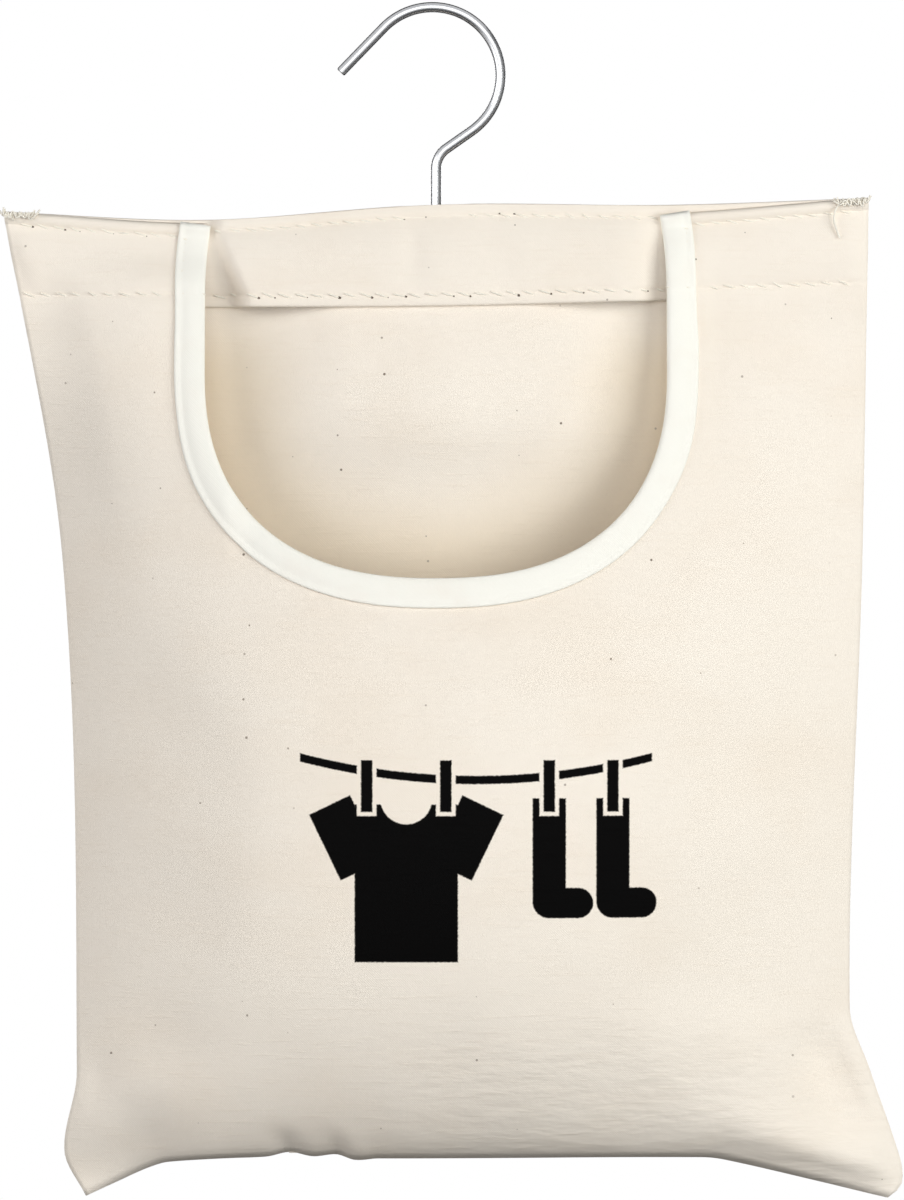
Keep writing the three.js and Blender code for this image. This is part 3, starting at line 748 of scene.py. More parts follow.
front_y = front_depth(front_u, front_v)
front_below = front_top(front_x) - front_z
front_y = front_y - roll(front_below, FRONT_ROLL) + curl(front_below, 1.3)
front_y = front_y + groove(front_below - EDGE_SEW, SHOULDER_SEW - np.abs(front_x))
front_y = front_y + groove(front_z - casing_line(front_x), CASING_SEW - np.abs(front_x))
back_y = back_depth(grid_u, grid_v) + roll(below_top, BACK_ROLL) - curl(below_top, 0.4)
back_y = back_y - groove(below_top - EDGE_SEW, SHOULDER_SEW - np.abs(grid_x))
back_y = back_y - groove(grid_z - casing_line(grid_x), CASING_SEW - np.abs(grid_x))
front_points = np.stack([front_x, front_y, front_z], -1)
back_points = np.stack([grid_x, back_y, grid_z], -1)
print("the front's roll stands", roll(front_below, FRONT_ROLL).max().round(2), "mm proud of its cloth")

# %% [markdown]
# ## Settling the cloth
# Drawn depths are too perfect: real calico is cut a little fuller than the shape it hangs in, and buckles
# into broad soft dents. A cloth simulation finds them. Every second point of both panels goes into
# Blender's cloth as it lies, the cloth is told to grow a little, and the seams, the casing and the mouth's
# binding hold it. The moves are then softened, and spread to all points by a cubic rule, so that the dents
# stay smooth. The front takes less than half of them, and so does the part of the back that the mouth
# shows, because both are smooth on the photograph.

# %% Settling the cloth
FULLER, STIFF, SETTLE_FRAMES, FURTHEST = 0.008, 6.0, 16, 5.0
SOFTENING, FRONT_SHARE, SHOWN_LESS = 8, 0.45, 0.7


def settle(points, held):
    """How far the points of two panels, by panel, row and column, move. held is 1 where one stays."""
    rows, wide = held.shape[1:]
    sheet = grid_faces(rows, wide)
    behind = [tuple(k + rows * wide for k in face[::-1]) for face in sheet]
    bag = make_mesh("settling", points, sheet + behind)
    group = bag.vertex_groups.new(name="held")
    for at, weight in enumerate(held.ravel()):
        group.add([at], float(weight), "REPLACE")
    added = bag.modifiers.new("cloth", "CLOTH")
    added.collision_settings.use_collision = False
    cloth = added.settings
    cloth.quality = 6
    cloth.mass = 0.2
    cloth.tension_stiffness = cloth.compression_stiffness = 20
    cloth.shear_stiffness = 8
    cloth.bending_stiffness = STIFF
    cloth.vertex_group_mass = "held"
    cloth.shrink_min = -FULLER
    cloth.effector_weights.gravity = 0
    for moment in range(1, SETTLE_FRAMES + 1):
        scene.frame_set(moment)
    settled = bag.evaluated_get(bpy.context.evaluated_depsgraph_get())
    places = np.empty(points.size)
    settled.data.vertices.foreach_get("co", places)
    moves = places.reshape(points.shape) / MM - BAG_AT - points
    bpy.data.objects.remove(bag)
    scene.frame_set(1)
    far = np.linalg.norm(moves, axis=-1, keepdims=True)
    return moves * np.minimum(1, FURTHEST / np.maximum(far, 1e-6))


def soften(moves, passes):
    """Each point's move averaged with its neighbours', several times over."""
    for _ in range(passes):
        for axis in (1, 2):
            moves = (np.roll(moves, 1, axis) + 2 * moves + np.roll(moves, -1, axis)) / 4
    return moves


def between(rows):
    """The rows with one more between each two, on a cubic through four."""
    wider = np.concatenate([rows[:1], rows, rows[-1:]])
    filled = np.empty((2 * len(rows) - 1, *rows.shape[1:]))
    filled[::2] = rows
    filled[1::2] = (9 * (rows[:-1] + rows[1:]) - wider[:-3] - wider[3:]) / 16
    return filled


first = len(CASING_ROWS) - 1
coarse = (slice(first, None, 2), slice(None, None, 2))
held = np.maximum(1 - smooth(from_seams(grid_u, grid_v), 0, 22), 1 - smooth(grid_v * TALL, 33, 60))
inside_mouth = (np.abs(grid_x) < mouth_half_at(grid_z)) & (grid_z > -MOUTH_DEEP)
held_front = np.maximum(np.maximum(held, 1 - smooth(from_mouth, 9, 32)), inside_mouth)
panels = np.stack([front_points[coarse], back_points[coarse]])
moves = soften(settle(panels, np.stack([held_front[coarse], held[coarse]])), SOFTENING)
spread = [between(between(panel).swapaxes(0, 1)).swapaxes(0, 1) for panel in moves]
front_points[first:] += FRONT_SHARE * spread[0]
in_view = (1 - smooth(np.abs(grid_x[first:]), 70, 100)) * smooth(grid_z[first:], -165, -125)
back_points[first:] += (1 - SHOWN_LESS * in_view)[..., None] * spread[1]
print("the cloth settled by", np.abs(moves).max(axis=(1, 2, 3)).round(1), "mm at most")
inner = (from_sides(grid_u) > 15) & (grid_v > 0.15) & (grid_v < 0.95) & ~inside_mouth
print("least room inside", (back_points - front_points)[inner][:, 1].min().round(1), "mm")

# %% [markdown]
# ## Front and back panels
# With the points settled, each panel is a grid of faces. The front one leaves the mouth's faces out. Both
# are cut cloth with 7 mm seam allowances, from which their cut sizes are worked out, along with their areas.

# %% Front and back panels
front = tidy(make_mesh("front_cloth", front_points, grid_faces(*grid_x.shape, ~open_mouth)))
back_faces = [face[::-1] for face in grid_faces(*grid_x.shape)]
back = tidy(make_mesh("back_cloth", back_points, back_faces))
thicken(front, CLOTH)
thicken(back, CLOTH)
belongs(front, "bag", "front_panel")
belongs(back, "bag", "back_panel")
ALLOWANCE = 7.0
cut_wide, cut_long = (2 * HALF + 2 * ALLOWANCE) * MM, (TALL + 2 * ALLOWANCE) * MM
front_area, back_area = (sum(face.area for face in panel.data.polygons) for panel in (front, back))
print("front", len(front.data.polygons), "faces, back", len(back.data.polygons), "faces")

# %% [markdown]
# ## Facing
# A strip of the same cloth backs the mouth along the casing. Its lower edge is turned under and stitched,
# so it shows a round fold and a little thickness. The rows run down the front of the strip, round the fold
# and up again behind.

# %% Facing
HEM_TURN, HEM_UP, FACING_CUT = 0.55, 4.0, 45.0


def facing_depth(u, v):
    x, _ = outline(u, v)
    down = down_casing(v)
    lift = 0.75 * smooth(v, 0.55 * STITCH_ROW, STITCH_ROW)
    over_bar = 1 - (2 * down - 1) ** 2
    crease = 0.9 * np.exp(-(((x + 8) / 4.5) ** 2)) + 0.7 * np.exp(-(((x - 16 - 8 * down) / 5) ** 2))
    return casing_room(x, v, -1) - CLOTH / 2 - lift + (crease - loose(x, down)) * over_bar


facing_u, facing_v = np.meshgrid(COLUMNS, CASING_ROWS)
facing_x, facing_z = outline(facing_u, facing_v)
facing_below = top_edge(facing_x) - facing_z
facing_y = facing_depth(facing_u, facing_v) - roll(facing_below, FACING_ROLL)
facing_y = facing_y + groove(facing_below - EDGE_SEW, FACING_SEW - np.abs(facing_x))
facing_y = facing_y + groove(facing_z - casing_line(facing_x), facing_x + FACING_SEW)
strip = np.stack([facing_x, facing_y, facing_z], -1)
fold = []
for turn in np.linspace(0, np.pi, 7)[1:]:
    shift = np.array([0, HEM_TURN * (1 - np.cos(turn)), -HEM_TURN * np.sin(turn)])
    fold.append(strip[-1] + shift)
for up in np.linspace(0, HEM_UP, 4)[1:]:
    fold.append(strip[-1] + np.array([0, 2 * HEM_TURN - 0.1, up]))
facing_points = np.concatenate([strip, np.array(fold)])
facing = make_mesh("facing_cloth", facing_points, grid_faces(*facing_points.shape[:2]))
thicken(facing, CLOTH)
belongs(facing, "bag", "casing_facing")
print("facing strip of", len(facing.data.polygons), "faces")

# %% [markdown]
# ## Standing on the cloth
# Tape and thread lie on the front or the facing at a small height. This helper finds the cloth's point at
# any x and z and the way out of the cloth there, from the same depths that shaped it. Along the casing that
# way is taken as straight to the front.

# %% Standing on the cloth
def surface(x, z, depth, height):
    """Points at a height over a layer's middle, at x and z, and the ways out of the cloth there."""
    x, z = np.broadcast_arrays(np.asarray(x, float), np.asarray(z, float))

    def at(x, z):
        droop = front_droop(x, z) if depth is front_depth else 0
        return depth(*locate(x, z + droop))

    small = 0.4
    slope_x = (at(x + small, z) - at(x - small, z)) / (2 * small)
    slope_z = (at(x, z + small) - at(x, z - small)) / (2 * small)
    free = smooth(-z, 34, 48)
    way = np.stack([slope_x * free, -np.ones_like(x), slope_z * free], -1)
    way /= np.linalg.norm(way, axis=-1, keepdims=True)
    middle = np.stack([x, at(x, z), z], -1)
    return middle + way * np.asarray(height)[..., None], way


below_lip, _ = surface([0.0], [-200.0], front_depth, np.array([0.0]))
print("the front's middle below the lip lies at", below_lip.round(1).tolist())

# %% [markdown]
# ## Mouth binding
# A bright white tape is folded over the mouth's edge and stitched down. It is a long strip with a U for its
# section: out over the front, round the edge and back inside. Between the stitching and the edge it puffs
# up a little, and its outer edge, which is turned under, stands proud of the cloth. A curve with a flat
# bevel could make such a strip, but this one has to follow the swelling front, so its section is laid on
# the cloth point by point.

# %% Mouth binding
BINDING_STITCH = 7.0
across = np.array([9.0, 8.95, 8.4, 7.6, 7.0, 6.3, 5.2, 4.0, 2.8, 1.7, 0.8])
puff = np.array([0.35, 0.66, 0.72, 0.62, 0.5, 0.66, 0.92, 1.05, 1.05, 0.98, 0.9]) + CLOTH / 2
turns = np.linspace(0, np.pi, 8)[1:-1]
fold_across = 0.3 - 0.95 * np.sin(turns)
fold_high = 0.9 * np.cos(turns) * 1.3
section_across = np.concatenate([across, fold_across, across[::-1][:-1]])
section_high = np.concatenate([puff, fold_high, -(CLOTH / 2 + TAPE / 2 + 0.1) * np.ones(len(across) - 1)])
tape_x, tape_z, tape_into_x, tape_into_z = mouth_line(5.0, 300)
under_edge = tape_z <= front_top(tape_x) + 0.2
tape_x, tape_z = tape_x[under_edge], tape_z[under_edge]
tape_into_x, tape_into_z = tape_into_x[under_edge], tape_into_z[under_edge]
wander = 0.12 * np.sin(np.arange(len(tape_x)) * 0.21) + 0.08 * np.sin(np.arange(len(tape_x)) * 0.083 + 1)
strip_x = tape_x[:, None] + tape_into_x[:, None] * (section_across + wander[:, None] * (section_across > 6))
strip_z = tape_z[:, None] + tape_into_z[:, None] * section_across
heights = section_high + (section_high > 0) * roll(front_top(strip_x) - strip_z, TAPE_ROLL)
tape_points, _ = surface(strip_x, strip_z, front_depth, heights)
binding = make_mesh("binding_tape", tape_points, [f[::-1] for f in grid_faces(*strip_x.shape)])
thicken(binding, TAPE)
belongs(binding, "bag", "mouth_binding")
front_area / back_area * cut_wide * cut_long
print("binding of", len(binding.data.polygons), "faces")

# %% [markdown]
# ## One stitch, many times
# A row of machine stitching is a line of short threads that dip into the cloth at both ends, with a pinhole
# at each dip. One stitch is modelled from a sphere of thirty faces, drawn out to its length. Its points are
# then copied along a line, turned to lie on the cloth and slanted a little, as a lockstitch is.

# %% One stitch
bpy.ops.object.select_all(action="DESELECT")
bpy.ops.mesh.primitive_uv_sphere_add(segments=6, ring_count=5, radius=1.0, rotation=(0, math.pi / 2, 0))
bpy.ops.object.transform_apply(location=False, rotation=True, scale=False)
stitch = bpy.context.object
stitch_points = np.array([p.co for p in stitch.data.vertices])
stitch_faces = [tuple(face.vertices) for face in stitch.data.polygons]
bpy.data.objects.remove(stitch)
scatter = np.random.default_rng(7)


def copies(places, along, out, sizes):
    """Points and faces of one stitch copied to places, and drawn out to a length, a width and a height."""
    beside = np.cross(out, along)
    beside /= np.linalg.norm(beside, axis=-1, keepdims=True)
    along = np.cross(beside, out)
    points = places[:, None, :] + (
        stitch_points[None, :, 0:1] * along[:, None, :] * sizes[:, None, 0:1]
        + stitch_points[None, :, 1:2] * beside[:, None, :] * sizes[:, None, 1:2]
        + stitch_points[None, :, 2:3] * out[:, None, :] * sizes[:, None, 2:3])
    count = len(stitch_points)
    faces = [tuple(k + i * count for k in face) for i in range(len(places)) for face in stitch_faces]
    return points.reshape(-1, 3), faces


print("a stitch has", len(stitch_faces), "faces")

# %% [markdown]
# ## Rows of stitching
# Each row takes points along its line, spaces the stitches almost evenly and adds a flat dark lens at the
# end of about every second one: painted shade for the pinhole. The thread has one material slot and the
# pinholes the next.

# %% Rows of stitching
def even_line(x, z, pitch):
    """Places along a line of x and z a pitch apart, and the line's ways there."""
    run = np.concatenate([[0], np.cumsum(np.hypot(np.diff(x), np.diff(z)))])
    places = np.arange(pitch / 2, run[-1], pitch)
    way_x = np.interp(places + 0.5, run, x) - np.interp(places - 0.5, run, x)
    way_z = np.interp(places + 0.5, run, z) - np.interp(places - 0.5, run, z)
    return np.interp(places, run, x), np.interp(places, run, z), way_x, way_z


def sew(x, z, depth, height, pitch=PITCH, thick=0.68, slant=0.36, holes=True):
    """Stitches and pinholes along a line on a layer: two pairs of points and faces."""
    x, z, way_x, way_z = even_line(np.asarray(x), np.asarray(z), pitch)
    x = x + scatter.normal(0, 0.12, len(x))
    z = z + scatter.normal(0, 0.1, len(z))
    turn = slant + scatter.normal(0, 0.1, len(x))
    places, out = surface(x, z, depth, height - scatter.uniform(0, 0.16, len(x)))
    along = np.stack([way_x * np.cos(turn) + way_z * np.sin(turn), np.zeros_like(x),
                      way_z * np.cos(turn) - way_x * np.sin(turn)], -1)
    along /= np.linalg.norm(along, axis=-1, keepdims=True)
    long = 0.40 * pitch * (1 + scatter.normal(0, 0.06, len(x)))
    sizes = np.stack([long, np.full(len(x), thick / 2), np.full(len(x), thick / 2)], -1)
    threads = copies(places, along, out, sizes)
    # The dark lenses are painted shade, where a needle hole would show its depth.
    shown = scatter.random(len(x)) < 0.55
    ends = (places + along * (long * 1.02)[:, None] - out * 0.1)[shown]
    wide = scatter.uniform(0.16, 0.5, len(ends))
    lens = np.stack([wide * 1.3, wide, np.full(len(ends), 0.16)], -1)
    pinholes = copies(ends, along[shown], out[shown], lens)
    return threads, pinholes if holes else None


def stitch_piece(name, *rows):
    """One mesh of several rows, with thread first and pinholes second."""
    points, faces, kinds = [], [], []
    total = 0
    for row in rows:
        for kind, part in enumerate(row):
            if part is not None:
                points.append(part[0])
                faces += [tuple(k + total for k in face) for face in part[1]]
                kinds += [kind] * len(part[1])
                total += len(part[0])
    piece = make_mesh(name, np.concatenate(points), faces)
    piece.data.polygons.foreach_set("material_index", kinds)
    return piece


ON_CLOTH, ON_TAPE = CLOTH / 2 + 0.1, CLOTH / 2 + 0.62
TAPE_OUTER, HOOK_GAP = 87.0, 9.0
sewn = []
for side, name in ((-1, "left"), (1, "right")):
    shoulder = side * np.linspace(SHOULDER_SEW, TAPE_OUTER, 60)
    over_tape = side * np.linspace(84.5, 76.0, 8)
    on_facing = side * np.linspace(FACING_SEW, HOOK_GAP, 60)
    edge = stitch_piece(
        f"edge_stitching_{name}",
        sew(shoulder, front_top(shoulder) - EDGE_SEW, front_depth, ON_CLOTH),
        sew(over_tape, front_top(over_tape) - 5.0, front_depth, ON_TAPE + 0.25, pitch=2.6),
        sew(on_facing, top_edge(on_facing) - EDGE_SEW, facing_depth, ON_CLOTH))
    belongs(edge, "bag", f"edge_stitch_{name}")
    low = side * np.linspace(CASING_SEW, TAPE_OUTER, 60)
    casing = stitch_piece(
        f"casing_stitching_{name}",
        sew(low, casing_line(low), front_depth, ON_CLOTH),
        sew(over_tape, casing_line(over_tape) + 0.4, front_depth, ON_TAPE + 0.2, pitch=2.9))
    belongs(casing, "bag", f"casing_stitch_{name}")
    sewn += [edge, casing]
low = np.linspace(-FACING_SEW, FACING_SEW, 90)
middle = stitch_piece("casing_stitching_middle", sew(low, casing_line(low), facing_depth, ON_CLOTH))
belongs(middle, "bag", "casing_stitch_middle")
row_x, row_z, row_into_x, row_into_z = mouth_line(-10.0, 500)
row_x, row_z = row_x + row_into_x * BINDING_STITCH, row_z + row_into_z * BINDING_STITCH
fine = sew(row_x, row_z, front_depth, ON_TAPE - 0.1, pitch=3.0, thick=0.36, slant=0.1, holes=False)
lock = stitch_piece("binding_stitching", fine)
belongs(lock, "bag", "binding_stitch")
sewn += [middle, lock]
print(len(sewn), "rows of stitching,", sum(len(p.data.polygons) for p in sewn), "faces")

# %% [markdown]
# ## Overcast corners
# At both top corners the seam's thread was run back and forth to lock it, and it shows as a fuzzy tangle of
# loops: a few strands that zigzag over the edge, each a little higher than the last. On the right a tail
# hangs down in a short arc. Each strand is a curve with a round bevel, made into a mesh, because a curve
# keeps its thickness round a bend.

# %% Overcast corners
def thread_tube(points, thick):
    """A thread through points, in millimetres, as a mesh."""
    line = bpy.data.curves.new("thread", "CURVE")
    line.dimensions = "3D"
    line.bevel_depth = thick / 2 * MM
    line.bevel_resolution = 1
    line.resolution_u = 3
    line.use_fill_caps = True
    spline = line.splines.new("NURBS")
    spline.points.add(len(points) - 1)
    for knot, place in zip(spline.points, (np.asarray(points) + BAG_AT) * MM):
        knot.co = (*place, 1.0)
    spline.use_endpoint_u = True
    spline.order_u = 3
    tube = bpy.data.objects.new("thread", line)
    scene.collection.objects.link(tube)
    pick(tube)
    bpy.ops.object.convert(target="MESH")
    return bpy.context.object


def join(name, pieces):
    """Makes several pieces one, under a new name."""
    pick(*pieces)
    bpy.ops.object.join()
    pieces[0].name = name
    return pieces[0]


def on_front(x, z, height):
    """Points at a height over the front's cloth."""
    return surface(np.array(x, float), np.array(z, float), front_depth, np.array(height, float))[0]


STRANDS, TURNS = 4, 11
TACK_OUTER, TACK_LONG = 144.8, 11.5
tacks = []
for side, name in ((-1, "left"), (1, "right")):
    strands = []
    for strand in range(STRANDS):
        x = side * (TACK_OUTER - TACK_LONG * np.linspace(0, 1, TURNS)) + scatter.normal(0, 0.8, TURNS)
        lift = 1.0 - 3.6 * (np.arange(TURNS) % 2) + scatter.normal(0, 0.7, TURNS)
        high = 1.3 + 0.4 * strand + scatter.uniform(0, 0.5, TURNS)
        strands.append(thread_tube(on_front(x, front_top(x) + np.clip(lift, -4, 1.6), high), 0.6))
    if side > 0:
        x = np.array([137.5, 134.5, 133.0, 132.2, 132.6, 133.2, 134.3])
        z = front_top(x) + np.array([-0.7, -1.0, -2.3, -5.4, -7.6, -9.6, -12.4])
        strands.append(thread_tube(on_front(x, z, [1.6, 2.0, 2.2, 2.2, 2.0, 1.7, 0.9]), 0.75))
    tack = join(f"overcast_corner_{name}", strands)
    belongs(tack, "bag", f"{name}_corner_tack")
    tacks.append(tack)
print("overcast corners of", [len(t.data.polygons) for t in tacks], "faces")

# %% [markdown]
# ## Overlocked seams inside
# Inside the bag the raw edges are overlocked: a narrow band of cloth with a thread that loops over its
# edge. The bands lie on the back panel down both sides and stand up along the bottom. Each is a strip with
# thickness, and a zigzag thread along it.

# %% Overlocked seams inside
SEAM_IN, SEAM_WIDE, BAND_THICK = 5.0, 7.0, 1.0
SIDE_TOP, SIDE_LOW = 99 / TALL, (TALL - 78) / TALL


def overlock(name, inner, outer, out, node):
    """A band between two lines of points, with a looped thread, standing off the cloth along the out ways."""
    share = np.linspace(0, 1, 5)
    band = inner[:, None, :] * (1 - share)[None, :, None] + outer[:, None, :] * share[None, :, None]
    ripple = 0.25 * np.sin(np.arange(len(inner)) * 1.3)[:, None, None] * share[None, :, None] ** 2
    band = band + out[:, None, :] * (0.9 + ripple)
    strip = thicken(make_mesh("band", band, grid_faces(*band.shape[:2])), BAND_THICK)
    count = 2 * len(inner)
    run = np.linspace(0, len(inner) - 1, count)
    step = np.floor(run).astype(int)
    step_on = np.minimum(step + 1, len(inner) - 1)
    part = (run - step)[:, None]
    near = inner[step] * (1 - part) + inner[step_on] * part
    far = outer[step] * (1 - part) + outer[step_on] * part
    way = out[step]
    side = np.where(np.arange(count) % 2 == 0, 0.12, 1.02)[:, None]
    loops = thread_tube(near * (1 - side) + far * side + way * 1.65, 0.45)
    for piece, kind in ((strip, 0), (loops, 1)):
        piece.data.materials.clear()
        piece.data.materials.append(None)
        piece.data.materials.append(None)
        piece.data.polygons.foreach_set("material_index", [kind] * len(piece.data.polygons))
    made = join(name, [strip, loops])
    return belongs(made, "bag", node)


overlocks = []
for side, name in ((-1, "left"), (1, "right")):
    v = np.linspace(SIDE_TOP, SIDE_LOW, 90)
    lines = []
    for inset in (SEAM_IN, SEAM_IN + SEAM_WIDE):
        u = np.full_like(v, inset / (2 * HALF) if side < 0 else 1 - inset / (2 * HALF))
        x, z = outline(u, v)
        lines.append(np.stack([x, back_depth(u, v) - CLOTH / 2, z], -1))
    flat = lines[1] - lines[0]
    out = np.cross(flat, np.gradient(lines[0], axis=0)) * -side
    out /= np.linalg.norm(out, axis=-1, keepdims=True)
    out *= -np.sign(out[:, 1:2])
    overlocks.append(overlock(f"overlocked_seam_{name}", lines[0], lines[1], out, f"{name}_seam_overlock"))
x = np.linspace(LEFT_TIP + 68, RIGHT_TIP - 56, 90)
foot = np.stack([x, np.zeros_like(x), bottom_lift(x) - TALL + 1.2], -1)
head = foot + np.array([0, 0, SEAM_WIDE])
out = np.tile([0.0, -0.3, 0.0], (len(x), 1))
overlocks.append(overlock("overlocked_seam_bottom", foot, head, out, "bottom_seam_overlock"))
print("three overlocked seams")

# %% [markdown]
# ## Hook
# The hook is one steel wire, bent cold: a straight tip, a round crown, a small bend at the neck and a
# straight stem with a head under the bar. It could be a curve with a bevel. Here it is drawn as it is bent:
# a circle of the wire's size is extruded along each straight and spun round each bend.

# %% Hook
WIRE, CROWN, NECK = 1.75, 22.7, 8.0
STEM_X, TIP_TURN, NECK_TURN, TIP_LONG = 1.2, math.radians(136), math.radians(-55), 20.6
HEAD, HEAD_TOP, HEAD_LOW = 3.0, BAG_AT[2] - 21.5, BAG_AT[2] - 22.9
TIP_ROUND, HEAD_ROUND = 0.3, 0.2
crown_z = -(CROWN - WIRE)


def on_crown(turn):
    return np.array([CROWN * math.cos(turn), 0, crown_z + CROWN * math.sin(turn)])


tip_way = np.array([math.sin(TIP_TURN), 0, -math.cos(TIP_TURN)])
tip_end = on_crown(TIP_TURN) - tip_way * TIP_LONG
neck_way = np.array([math.sin(NECK_TURN), 0, -math.cos(NECK_TURN)])
neck_top = on_crown(NECK_TURN)
corner = neck_top + neck_way * (STEM_X - neck_top[0]) / neck_way[0]
short = NECK * math.tan(-NECK_TURN / 2)
neck_start = corner - neck_way * short
neck_end_z = corner[2] - short


def metres(vector):
    return tuple(float(k) * MM for k in vector)


def draw_on(vector):
    """Extrudes the wire's end by so many millimetres."""
    bpy.ops.mesh.extrude_region_move(TRANSFORM_OT_translate={"value": metres(vector)})


def widen(across, along, centre):
    """Scales the wire's end about a point."""
    bpy.ops.transform.resize(value=(across, across, along), center_override=metres(centre))


bpy.ops.object.select_all(action="DESELECT")
lean = math.atan2(tip_way[0], tip_way[2])
bpy.ops.mesh.primitive_circle_add(
    vertices=20, radius=(WIRE - TIP_ROUND) * MM, fill_type="NGON",
    location=metres(tip_end), rotation=(0, lean, 0))
hook = bpy.context.object
hook.name = "wire_hook"
bpy.ops.object.mode_set(mode="EDIT")
draw_on(tip_way * TIP_ROUND)
full = WIRE / (WIRE - TIP_ROUND)
widen(full, full, tip_end + tip_way * TIP_ROUND)
draw_on(tip_way * (TIP_LONG - TIP_ROUND))
bpy.ops.mesh.spin(steps=64, angle=NECK_TURN - TIP_TURN, center=metres((0, 0, crown_z)), axis=(0, 1, 0))
draw_on(neck_start - neck_top)
bpy.ops.mesh.spin(steps=16, angle=-NECK_TURN, center=metres((STEM_X + NECK, 0, neck_end_z)), axis=(0, 1, 0))
draw_on((0, 0, HEAD_TOP - neck_end_z))
draw_on((0, 0, -HEAD_ROUND))
widen(HEAD / WIRE, 1, (STEM_X, 0, HEAD_TOP - HEAD_ROUND))
draw_on((0, 0, HEAD_LOW - HEAD_TOP + 2 * HEAD_ROUND))
draw_on((0, 0, -HEAD_ROUND))
widen(0.85, 1, (STEM_X, 0, HEAD_LOW))
bpy.ops.mesh.select_all(action="SELECT")
bpy.ops.mesh.remove_doubles(threshold=1e-6)
bpy.ops.mesh.normals_make_consistent(inside=False)
bpy.ops.object.mode_set(mode="OBJECT")
bpy.ops.object.transform_apply(location=True, rotation=True, scale=True)
bpy.ops.object.shade_smooth_by_angle(angle=math.radians(40))
belongs(hook, "hook", "hook")

# %% [markdown]
# ## Print
# A one-colour print sits in the middle of the front. Here it is a plain washing line with a shirt and two
# socks, drawn as distances: each shape is a sum that is negative inside it, the smaller of two sums joins
# shapes, and the larger one cuts. The ink stops softly, within a quarter of a millimetre on either side of
# zero, as screen ink does on cloth.

# %% Print
PRINT_X, PRINT_Z = 14.5, -280.0


def box(p, q, middle, half, lean=0.0):
    """Distance outside a box, in the print's millimetres, turned by lean."""
    right, up = p - middle[0], q - middle[1]
    if lean:
        along, beside = math.cos(lean), math.sin(lean)
        right, up = right * along + up * beside, up * along - right * beside
    return (abs(right) - half[0]).high(abs(up) - half[1])


def disc(p, q, middle, radius):
    """Distance outside a disc."""
    right, up = p - middle[0], q - middle[1]
    return (right * right + up * up) ** 0.5 - radius


def washing_line(p, q):
    """Distance outside the print's shapes, with a bare rim round each peg."""
    line = (abs(q - 25 - p * p * 0.0022) - 1.4).high(abs(p) - 58)
    shirt = box(p, q, (-23, -9), (17, 26))
    shirt = shirt.low(box(p, q, (-43, 6), (7.5, 12), 0.45)).low(box(p, q, (-3, 6), (7.5, 12), -0.45))
    shirt = shirt.high(-disc(p, q, (-23, 19), 8.5))
    laundry = shirt
    for right in (24.0, 45.0):
        leg = box(p, q, (right, 2), (5.5, 17)).low(disc(p, q, (right, -15), 5.5))
        foot = box(p, q, (right + 5, -15.5), (5, 5)).low(disc(p, q, (right + 9.5, -15.5), 5.0))
        laundry = laundry.low(leg).low(foot)
    pegs = None
    for right in (-36.0, -10.0, 24.0, 45.0):
        peg = box(p, q, (right, 23), (1.9, 8.5))
        pegs = peg if pegs is None else pegs.low(peg)
    return laundry.low(line).high(1.3 - pegs).low(pegs)


print("print centred at", PRINT_X, PRINT_Z)

# %% [markdown]
# ## Calico
# Unbleached calico is a plain weave of slightly uneven yarns: cream, matt, with thicker slubs that run
# across and a few specks of seed husk. The weave is a product of two waves a thread apart, the slubs are
# noise drawn out sideways, and the specks are the middles of a few cells of a cell pattern. Low on the
# right the cloth is crumpled into fine wrinkles, which are noise in the bump. All of that is read from the
# object's own millimetres. On the back, the number 'inside' mixes in a warmer, darker cream: painted shade.

# %% Calico
WEAVE, SPECK_CELL, WRINKLE = 2 * math.pi / 0.8, 15.0, 7.0


def millimetres(new):
    """x, y and z on the object."""
    place = new.node("ShaderNodeTexCoord", output="Object")
    apart = new.node("ShaderNodeSeparateXYZ", (), {0: place})
    return [apart.other(name) * (1 / MM) for name in "XYZ"]


def vector(new, x, y, z):
    return new.node("ShaderNodeCombineXYZ", (), {"X": x, "Y": y, "Z": z})


def noise(new, where, detail=2.0):
    return new.node("ShaderNodeTexNoise", (), {"Vector": where, "Scale": 1.0, "Detail": detail})


def bump(new, height, strength, deep):
    """The surface's normal over a height from 0 to 1 that is so many millimetres deep."""
    return new.node("ShaderNodeBump", (), {"Strength": strength, "Distance": deep * MM, "Height": height})


CREAM, CREAM_WARM, HUSK = colour(248, 239, 227), colour(243, 231, 216), colour(96, 78, 62)
# The next colour is painted shade: a warmer, darker cream for the light that bounces deep inside the bag.
CREAM_PAINTED_SHADE = colour(248, 233, 210)


